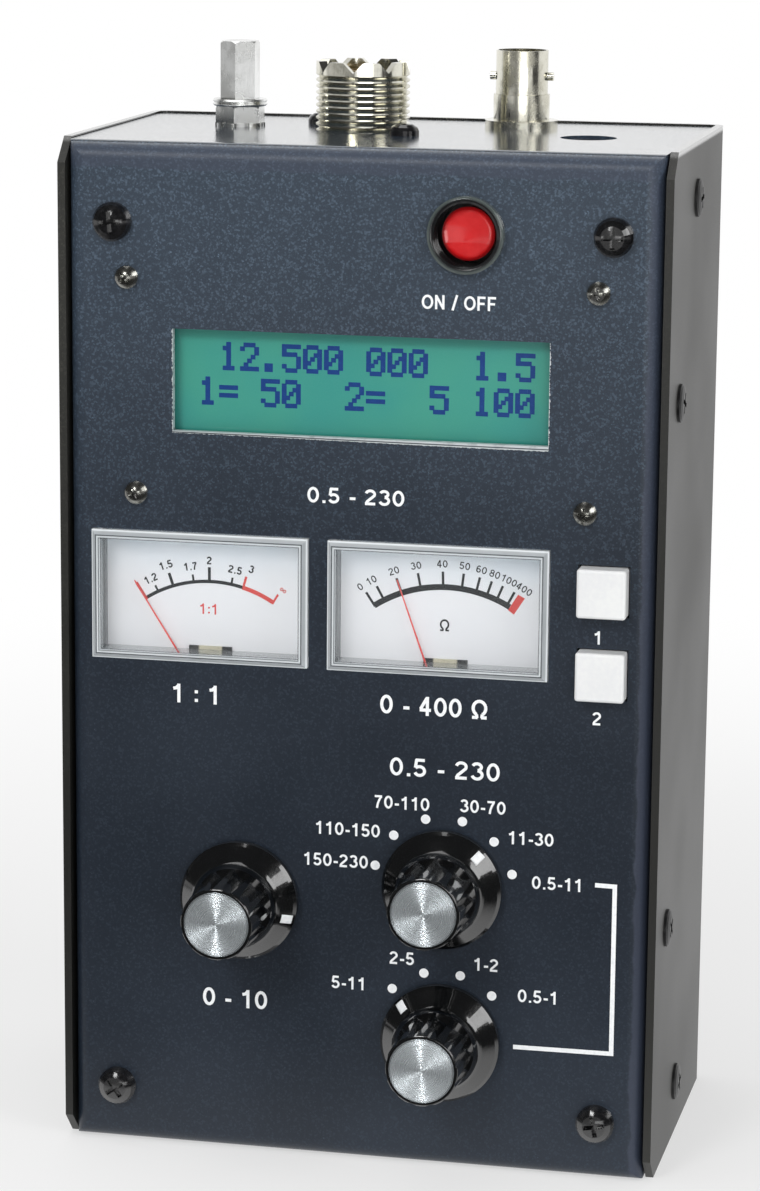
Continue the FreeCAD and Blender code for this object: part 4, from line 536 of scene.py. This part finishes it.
# Advance and the centre lines of the strokes, for capitals 1 high.
GLYPHS = {
    "0": (0.78, [bow(0.335, 0.5, 0.25, 0.415, 0, 345)]),
    "1": (0.78, [[(0.40, 0.0), (0.40, 1.0)], [(0.10, 0.74), (0.25, 0.77), (0.38, 0.90)]]),
    "2": (0.78, [bow(0.325, 0.70, 0.24, 0.215, 168, -28) + [(0.33, 0.40), (0.16, 0.24),
                                                           (0.09, 0.09)],
                 [(0.03, 0.083), (0.60, 0.083)]]),
    "3": (0.78, [bow(0.32, 0.735, 0.215, 0.182, 160, -80),
                 bow(0.325, 0.31, 0.25, 0.225, 85, -165)]),
    "4": (0.78, [[(0.43, 0.0), (0.43, 1.0)], [(0.40, 0.93), (0.08, 0.36)],
                 [(0.03, 0.30), (0.62, 0.30)]]),
    "5": (0.78, [[(0.58, 0.917), (0.13, 0.917)], [(0.18, 0.95), (0.12, 0.50)],
                 bow(0.325, 0.325, 0.245, 0.242, 142, -158)]),
    "6": (0.78, [bow(0.335, 0.315, 0.24, 0.23, 0, 345),
                 bow(0.345, 0.5, 0.25, 0.415, 52, 262)]),
    "7": (0.78, [[(0.06, 0.917), (0.62, 0.917)], [(0.56, 0.90), (0.40, 0.62), (0.29, 0.32),
                                                (0.24, 0.0)]]),
    "8": (0.78, [bow(0.335, 0.73, 0.205, 0.187, 0, 345), bow(0.335, 0.30, 0.25, 0.217, 0, 345)]),
    "-": (0.48, [[(0.05, 0.36), (0.37, 0.36)]]),
    ".": (0.38, [[(0.08, 0.083), (0.25, 0.083)]]),
    ":": (0.38, [[(0.08, 0.16), (0.25, 0.16)], [(0.08, 0.62), (0.25, 0.62)]]),
    "/": (0.44, [[(0.02, -0.04), (0.34, 1.04)]]),
    "O": (0.94, [bow(0.41, 0.5, 0.33, 0.42, 0, 345)]),
    "N": (0.84, [[(0.09, 0.0), (0.09, 1.0)], [(0.09, 0.96), (0.60, 0.04)],
                 [(0.60, 0.0), (0.60, 1.0)]]),
    "F": (0.74, [[(0.09, 0.0), (0.09, 1.0)], [(0.09, 0.917), (0.58, 0.917)],
                 [(0.09, 0.49), (0.52, 0.49)]]),
    "Ω": (1.0, [bow(0.42, 0.56, 0.33, 0.37, -62, 242), [(0.04, 0.07), (0.33, 0.07)],
                [(0.51, 0.07), (0.80, 0.07)], [(0.27, 0.24), (0.29, 0.05)],
                [(0.57, 0.24), (0.55, 0.05)]]),
    "∞": (0.92, [INFINITY]),
    " ": (0.40, []),
}


# Strokes that cross lie on slightly different levels, so that no two share a plane.
LEVEL_STEP, LEVELS = 0.0008, 12


class Drawing:
    """Flat shapes in ink, standing a little proud of a plane that faces the front."""

    def __init__(self, level, thickness=0.03):
        self.level = level
        self.thickness = thickness
        self.corners = []
        self.faces = []
        self.count = 0

    def solid(self, rings, closed):
        """Joins rings of four corners: left and right edges, front and back."""
        first = len(self.corners)
        self.count += 1
        front = self.level - self.thickness - LEVEL_STEP * (self.count % LEVELS)
        for left, right in rings:
            self.corners += [(left[0], front, left[1]), (right[0], front, right[1]),
                             (right[0], self.level, right[1]), (left[0], self.level, left[1])]
        total = len(rings)
        for step in range(total if closed else total - 1):
            here, there = first + 4 * step, first + 4 * ((step + 1) % total)
            for side in range(4):
                turn = (side + 1) % 4
                self.faces.append((here + side, here + turn, there + turn, there + side))
        if not closed:
            last = first + 4 * (total - 1)
            self.faces.append((first + 3, first + 2, first + 1, first))
            self.faces.append((last, last + 1, last + 2, last + 3))

    def line(self, points, width, closed=False):
        """A band of one width along a path, mitred at its corners."""
        rings = []
        total = len(points)
        for step, (x, z) in enumerate(points):
            before = points[step - 1] if closed or step else (x, z)
            after = points[(step + 1) % total] if closed or step < total - 1 else (x, z)
            ways = [Vector((x - before[0], z - before[1])), Vector((after[0] - x, after[1] - z))]
            ways = [way.normalized() for way in ways if way.length > 1e-6]
            along = (ways[0] + ways[-1]).normalized()
            reach = width / 2 / max(0.6, along.dot(ways[0]))
            beside = Vector((-along.y, along.x)) * reach
            rings.append(((x + beside.x, z + beside.y), (x - beside.x, z - beside.y)))
        self.solid(rings, closed)

    def block(self, corners):
        """Four corners in order round a quadrilateral."""
        first, second, third, fourth = corners
        self.solid([(first, second), (fourth, third)], False)

    def dot(self, x, z, radius):
        """A disc, drawn as a short fat ring round its own middle."""
        self.line(bow(x, z, radius / 2, radius / 2, 0, 345), radius, True)

    def words(self, text, x, z, capital, weight=0.165, turn=0.0, stretch=1.0):
        """Lettering centred on x and z, turned clockwise by turn degrees."""
        width = (sum(GLYPHS[letter][0] for letter in text) - 0.11) * stretch
        angle = math.radians(-turn)
        cosine, sine = math.cos(angle), math.sin(angle)
        start = -width / 2
        for letter in text:
            advance, strokes = GLYPHS[letter]
            loops = LOOPS.get(letter, ())
            for number, stroke in enumerate(strokes):
                placed = []
                for along, up in stroke:
                    right, above = (start + along * stretch) * capital, (up - 0.5) * capital
                    placed.append((x + right * cosine - above * sine,
                                   z + right * sine + above * cosine))
                self.line(placed, weight * capital, number in loops)
            start += advance * stretch

    def piece(self, name, body, material, slot):
        solid_piece(name, self.corners, self.faces, body, material)


def solid_piece(name, corners, faces, body, material, smooth=False):
    """A mesh in millimetres that rides on a body and wears one material."""
    mesh = bpy.data.meshes.new(name)
    mesh.from_pydata([tuple(value * MM for value in corner) for corner in corners], [], faces)
    mesh.validate()
    mesh.materials.append(material)
    if smooth:
        mesh.shade_smooth()
    made = bpy.data.objects.new(name, mesh)
    bpy.context.scene.collection.objects.link(made)
    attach(made, body)


def about(pivot, angle, radius):
    """A place at an angle clockwise from straight up, seen from the front."""
    turn = math.radians(angle)
    return (pivot[0] + radius * math.sin(turn), pivot[1] + radius * math.cos(turn))


def sector(pivot, radius, start, end):
    """Points along an arc about a pivot, from one angle to another."""
    return [about(pivot, start + (end - start) * step / 24, radius) for step in range(25)]


WHITE_INK = printed("white_ink", shade(240, 242, 243), shade(214, 218, 222))
BLACK_INK = printed("black_ink", shade(18, 21, 24), shade(34, 38, 42))
RED_INK = printed("red_ink", shade(222, 66, 60), shade(232, 96, 88))


# ---------------------------------------------------------------- panel printing

# Heights of the capitals.
TITLE, HEADING, SUBTITLE, LABEL, NUMBER = 3.2, 3.1, 2.6, 2.3, 2.2
RANGE_CIRCLE, RANGE_DOT = 12.0, 0.8
BRACKET = [(40.5, 51.35), (43.8, 51.3), (43.8, 22.5), (27.25, 22.4)]
BRACKET_WIDTH = 0.75


def print_panel():
    sheet = Drawing(PANEL_FACE)
    sheet.words("ON / OFF", 16.4, 146.8, LABEL)
    sheet.words("0.5 - 230", -0.4, 114.4, SUBTITLE, weight=0.175, stretch=1.15)
    sheet.words("1 : 1", -27.5, 79.7, TITLE)
    sheet.words("0 - 400 Ω", 13.1, 79.9, TITLE)
    sheet.words("1", 40.1, 93.0, NUMBER)
    sheet.words("2", 40.2, 79.5, NUMBER)
    sheet.words("0.5 - 230", 15.0, 69.4, HEADING, stretch=1.1)
    sheet.words("0 - 10", -20.7, 27.2, TITLE)
    for text, x, z in (("150-230", -3.4, 52.6), ("110-150", -1.4, 58.1), ("70-110", 7.8, 63.2),
                       ("30-70", 21.5, 63.4), ("11-30", 29.6, 58.5), ("0.5-11", 34.2, 51.1),
                       ("5-11", -1.0, 31.4), ("2-5", 8.1, 36.4), ("1-2", 22.4, 36.3),
                       ("0.5-1", 31.3, 31.4)):
        sheet.words(text, x, z, NUMBER)
    for control, angles in (("band", (-75, -45, -15, 15, 45, 75)),
                            ("low_band", (-45, -15, 15, 45))):
        for angle in angles:
            sheet.dot(*about(CONTROLS[control][:2], angle, RANGE_CIRCLE), RANGE_DOT)
    sheet.line(BRACKET, BRACKET_WIDTH)
    sheet.piece("panel_printing", "case", WHITE_INK, "panel_paint")


# ---------------------------------------------------------------- meter dials

# Radius of each dial's arc about its pivot.
LEFT_ARC, RIGHT_ARC = 20.62, 21.75


def print_left_dial():
    pivot = METERS["left"]
    black, red = Drawing(DIAL_FACE, 0.02), Drawing(DIAL_FACE, 0.025)
    black.line(sector(pivot, LEFT_ARC, -32.6, 15.6), 0.58)
    red.line(sector(pivot, LEFT_ARC, 15.4, 31.4), 0.72)
    for angle, inner, outer, width, ink in ((-26.4, 20.8, 21.75, 0.36, black),
                                            (-18.5, 20.8, 22.9, 0.5, black),
                                            (-8.3, 20.8, 21.9, 0.36, black),
                                            (-0.7, 20.8, 23.05, 0.5, black),
                                            (9.9, 20.8, 21.8, 0.36, black),
                                            (15.7, 20.8, 22.6, 0.4, red),
                                            (31.4, 20.3, 22.25, 0.36, red),
                                            (-33.2, 20.3, 23.7, 0.5, red)):
        ink.line([about(pivot, angle, inner), about(pivot, angle, outer)], width)
    for text, angle, radius in (("1.2", -27.0, 23.1), ("1.5", -18.8, 24.35), ("1.7", -8.8, 23.3),
                                ("2", -0.7, 24.2), ("2.5", 10.4, 23.2), ("3", 16.9, 24.1)):
        black.words(text, *about(pivot, angle, radius), 1.3, 0.19, angle)
    red.words("∞", *about(pivot, 32.2, 23.5), 1.35, 0.1, 32.0)
    red.words("1:1", pivot[0] - 0.4, pivot[1] + 15.9, 1.8, 0.15)
    black.piece("left_dial_black", "case", BLACK_INK, "dial_white")
    red.piece("left_dial_red", "case", RED_INK, "dial_white")


def print_right_dial():
    pivot = METERS["right"]
    black, red = Drawing(DIAL_FACE, 0.02), Drawing(DIAL_FACE, 0.025)
    black.line(sector(pivot, RIGHT_ARC, -34.2, 29.4), 1.0)
    for angle in (-34.0, -29.0, -20.4, -11.5, -1.5, 6.8, 13.3, 18.2, 22.9, 28.0):
        black.line([about(pivot, angle, 21.6), about(pivot, angle, 24.35)], 0.42)
    for text, angle in (("0", -34.8), ("10", -29.8), ("20", -20.4), ("30", -11.7), ("40", -1.7),
                        ("50", 6.8), ("60", 13.2), ("80", 18.4), ("100", 24.1), ("400", 30.6)):
        black.words(text, *about(pivot, angle, 25.65), 1.25, 0.15, angle)
    black.words("Ω", pivot[0] - 0.2, pivot[1] + 15.3, 2.0, 0.15)
    red.block([about(pivot, 29.4, 21.15), about(pivot, 32.7, 21.05), about(pivot, 32.7, 24.4),
               about(pivot, 29.7, 24.3)])
    black.piece("right_dial_black", "case", BLACK_INK, "dial_white")
    red.piece("right_dial_red", "case", RED_INK, "dial_white")


# ---------------------------------------------------------------- display

# Seven rows of five dots for each character, as the bits of a number from 0 to 31.
DOTS = {
    "0": (14, 17, 19, 21, 25, 17, 14), "1": (4, 12, 4, 4, 4, 4, 14),
    "2": (14, 17, 1, 2, 4, 8, 31), "5": (31, 16, 30, 1, 1, 17, 14),
    ".": (0, 0, 0, 0, 0, 12, 12), "=": (0, 0, 31, 0, 31, 0, 0), " ": (0,) * 7,
}
DOT_COLUMNS = 5
CHARACTER_PITCH, DOT_ACROSS, DOT_DOWN = 3.535, 0.6, 0.655
# How far a dot reaches past its own place, so that neighbours run together; the extra reach stands
# for each dot's painted shadow on the reflector behind.
DOT_SPREAD, DOT_RISE = 0.11, 0.06
FIRST_COLUMN = -27.6
# Each row's characters and the height of its top.
DISPLAY_ROWS = ((" 12.500 000  1.5", 138.6), ("1= 50  2=  5 100", 132.75))


def print_display():
    cells = Drawing(GLASS_FACE, 0.02)
    for text, top in DISPLAY_ROWS:
        for column, letter in enumerate(text):
            left = FIRST_COLUMN + column * CHARACTER_PITCH
            for row, bits in enumerate(DOTS[letter]):
                for number in range(DOT_COLUMNS):
                    if bits >> (DOT_COLUMNS - 1 - number) & 1:
                        x = left + number * DOT_ACROSS - DOT_SPREAD
                        z = top - row * DOT_DOWN + DOT_RISE
                        right = x + DOT_ACROSS + 2 * DOT_SPREAD
                        foot = z - DOT_DOWN - 2 * DOT_RISE
                        cells.block([(x, z), (x, foot), (right, foot), (right, z)])
    ink = printed("display_ink", shade(8, 56, 122), shade(16, 68, 134), 0.3)
    cells.piece("display_characters", "case", ink, "display_green")


# ---------------------------------------------------------------- knob marks

# A mark reaches between two radii; its top stands proud of the skirt, its foot is sunk.
MARK_INNER, MARK_OUTER, MARK_WIDTH = 8.1, 9.75, 1.5
MARK_TOP, MARK_FOOT = 0.04, -0.25
SKIRT_EDGE, SKIRT_EDGE_HEIGHT = 9.6, 2.3
SKIRT_SLOPE = 2.3 / 3.0


def skirt_height(radius):
    """How far the skirt stands off the panel: a slope to the edge, then a 45 degree bevel."""
    slope = SKIRT_SLOPE if radius < SKIRT_EDGE else 1.0
    return SKIRT_EDGE_HEIGHT + (SKIRT_EDGE - radius) * slope


def knob_marks():
    """A white patch on each skirt's slope, from near the grip out to the rim."""
    for control, (x, z, turn) in CONTROLS.items():
        corners, faces = [], []
        lengthwise, across = 6, 4
        for lift in (MARK_TOP, MARK_FOOT):
            for step in range(lengthwise + 1):
                share = step / lengthwise
                radius = MARK_INNER + (MARK_OUTER - MARK_INNER) * share
                height = skirt_height(radius) + lift
                for side in range(across + 1):
                    offset = (side / across - 0.5) * MARK_WIDTH
                    angle = math.radians(turn) + offset / radius
                    corners.append((x + radius * math.sin(angle), PANEL_FACE - height,
                                    z + radius * math.cos(angle)))
        layer = (lengthwise + 1) * (across + 1)
        row = across + 1
        for step in range(lengthwise):
            for side in range(across):
                one = step * row + side
                faces.append((one, one + row, one + row + 1, one + 1))
                faces.append((layer + one, layer + one + 1, layer + one + row + 1,
                              layer + one + row))
        edge = ([side for side in range(across)]
                + [step * row + across for step in range(lengthwise)]
                + [lengthwise * row + side for side in range(across, 0, -1)]
                + [step * row for step in range(lengthwise, 0, -1)])
        for number, corner in enumerate(edge):
            following = edge[(number + 1) % len(edge)]
            faces.append((corner, following, following + layer, corner + layer))
        solid_piece(control + "_mark", corners, faces, control + "_control", WHITE_INK,
                    True)


print_panel()
print_left_dial()
print_right_dial()
print_display()
knob_marks()


# ---------------------------------------------------------------- studio

# Metres: the floor's radius and the point that every lamp faces.
FLOOR_REACH = 8.0
AIM = (0, 0, 0.09)


def make_floor():
    """A pale floor that keeps the shadow and fades to white away from the part."""
    mesh = bpy.data.meshes.new("floor")
    sides = 64
    turns = [math.tau * step / sides for step in range(sides)]
    corners = [(math.cos(turn) * FLOOR_REACH, math.sin(turn) * FLOOR_REACH, 0) for turn in turns]
    mesh.from_pydata(corners, [], [tuple(range(sides))])
    cloth = Finish("floor_white")
    away = cloth.vector("LENGTH", cloth.place(), None, "Value")
    path = cloth.node("LightPath", {}, {})
    camera = Value(cloth, path.socket.node.outputs["Is Camera Ray"])
    glossy = Value(cloth, path.socket.node.outputs["Is Glossy Ray"])
    across, back, _ = cloth.axes()
    # Glossy surfaces see the floor as white, but dark in front of the part, with a bright
    # window far out in the dark.
    window = (cloth.rise(back, -700.0, -1000.0) * cloth.rise(across - back * 0.14, -100.0, 100.0)
              * cloth.rise(back * -1.6 - across, -100.0, 100.0))
    dim = (cloth.rise(back, -45.0, -85.0) * cloth.rise(across, -800.0, -450.0, 0.42, 1.0)
           * (1 - window))
    pale = cloth.principled(Base_Color=shade(236, 236, 236), Roughness=0.9,
                            Specular_IOR_Level=0.0)
    glow = cloth.blend(glossy * dim, (1, 1, 1, 1), (0.05, 0.05, 0.05, 1))
    white = cloth.node("Emission", {}, {"Color": glow})
    share = cloth.rise(away, 0.10, 0.45, 0.55, 1.0) * camera + glossy
    mesh.materials.append(cloth.show(cloth.node("MixShader", {}, {0: share, 1: pale, 2: white})))
    floor = bpy.data.objects.new("floor", mesh)
    bpy.context.scene.collection.objects.link(floor)


def make_world():
    """White to the camera, a soft light that is stronger at the front, and for glossy
    surfaces a dim room whose back is bright."""
    air = Finish("studio_air", "world")
    path = air.node("LightPath", {}, {})
    sockets = path.socket.node.outputs
    direct = Value(air, sockets["Is Camera Ray"]) + Value(air, sockets["Is Transmission Ray"])
    glossy = Value(air, sockets["Is Glossy Ray"])
    split = air.node("SeparateXYZ", {}, {0: air.node("TexCoord", {}, {}, "Generated")})
    aside, toward, upward = [Value(air, socket) for socket in split.socket.node.outputs]
    bright = air.rise(toward, 0.0, 0.6) * air.rise(upward, 0.8, 0.4)
    soft = air.rise(toward, 0.6, -0.9, 0.33, 0.66)
    level = direct + glossy * (0.05 + bright * 0.95) + (1 - direct) * (1 - glossy) * soft
    backdrop = air.node("Background", {}, {"Color": air.blend(level, (0, 0, 0, 1), (1, 1, 1, 1))})
    bpy.context.scene.world = air.show(backdrop)


def make_lamp(name, where, width, height, power):
    """A rectangular lamp, in metres and watts, that faces the part."""
    light = bpy.data.lights.new(name, "AREA")
    light.shape = "RECTANGLE"
    light.size = width
    light.size_y = height
    light.energy = power
    lamp = bpy.data.objects.new(name, light)
    lamp.location = where
    lamp.rotation_euler = (Vector(AIM) - Vector(where)).to_track_quat("-Z", "Y").to_euler()
    bpy.context.scene.collection.objects.link(lamp)


def make_camera():
    """The photo's own view: a long lens, a little off its axis, matched to the photo."""
    lens = bpy.data.cameras.new("camera")
    lens.sensor_fit = "VERTICAL"
    lens.sensor_height = 36.0
    lens.lens = 117.46
    lens.shift_x = 0.0199
    lens.shift_y = 0.0456
    lens.clip_start = 0.01
    lens.clip_end = 30.0
    eye = bpy.data.objects.new("camera", lens)
    eye.location = (0.1369, -0.64062, 0.22634)
    eye.rotation_euler = [math.radians(angle) for angle in (77.602, -0.427, 12.740)]
    bpy.context.scene.collection.objects.link(eye)
    bpy.context.scene.camera = eye


make_floor()
make_world()
make_lamp("overhead_softbox", (-0.2, 0.15, 1.3), 0.9, 0.9, 4.6)
make_lamp("key_lamp", (-0.34, -1.12, 0.86), 0.34, 0.3, 5.3)
make_lamp("low_strip", (0.36, -1.1, 0.12), 0.7, 0.24, 2.0)
make_lamp("side_lamp", (0.94, -0.52, 0.55), 0.5, 0.5, 3.2)
make_camera()
bpy.context.scene.view_settings.view_transform = "Standard"
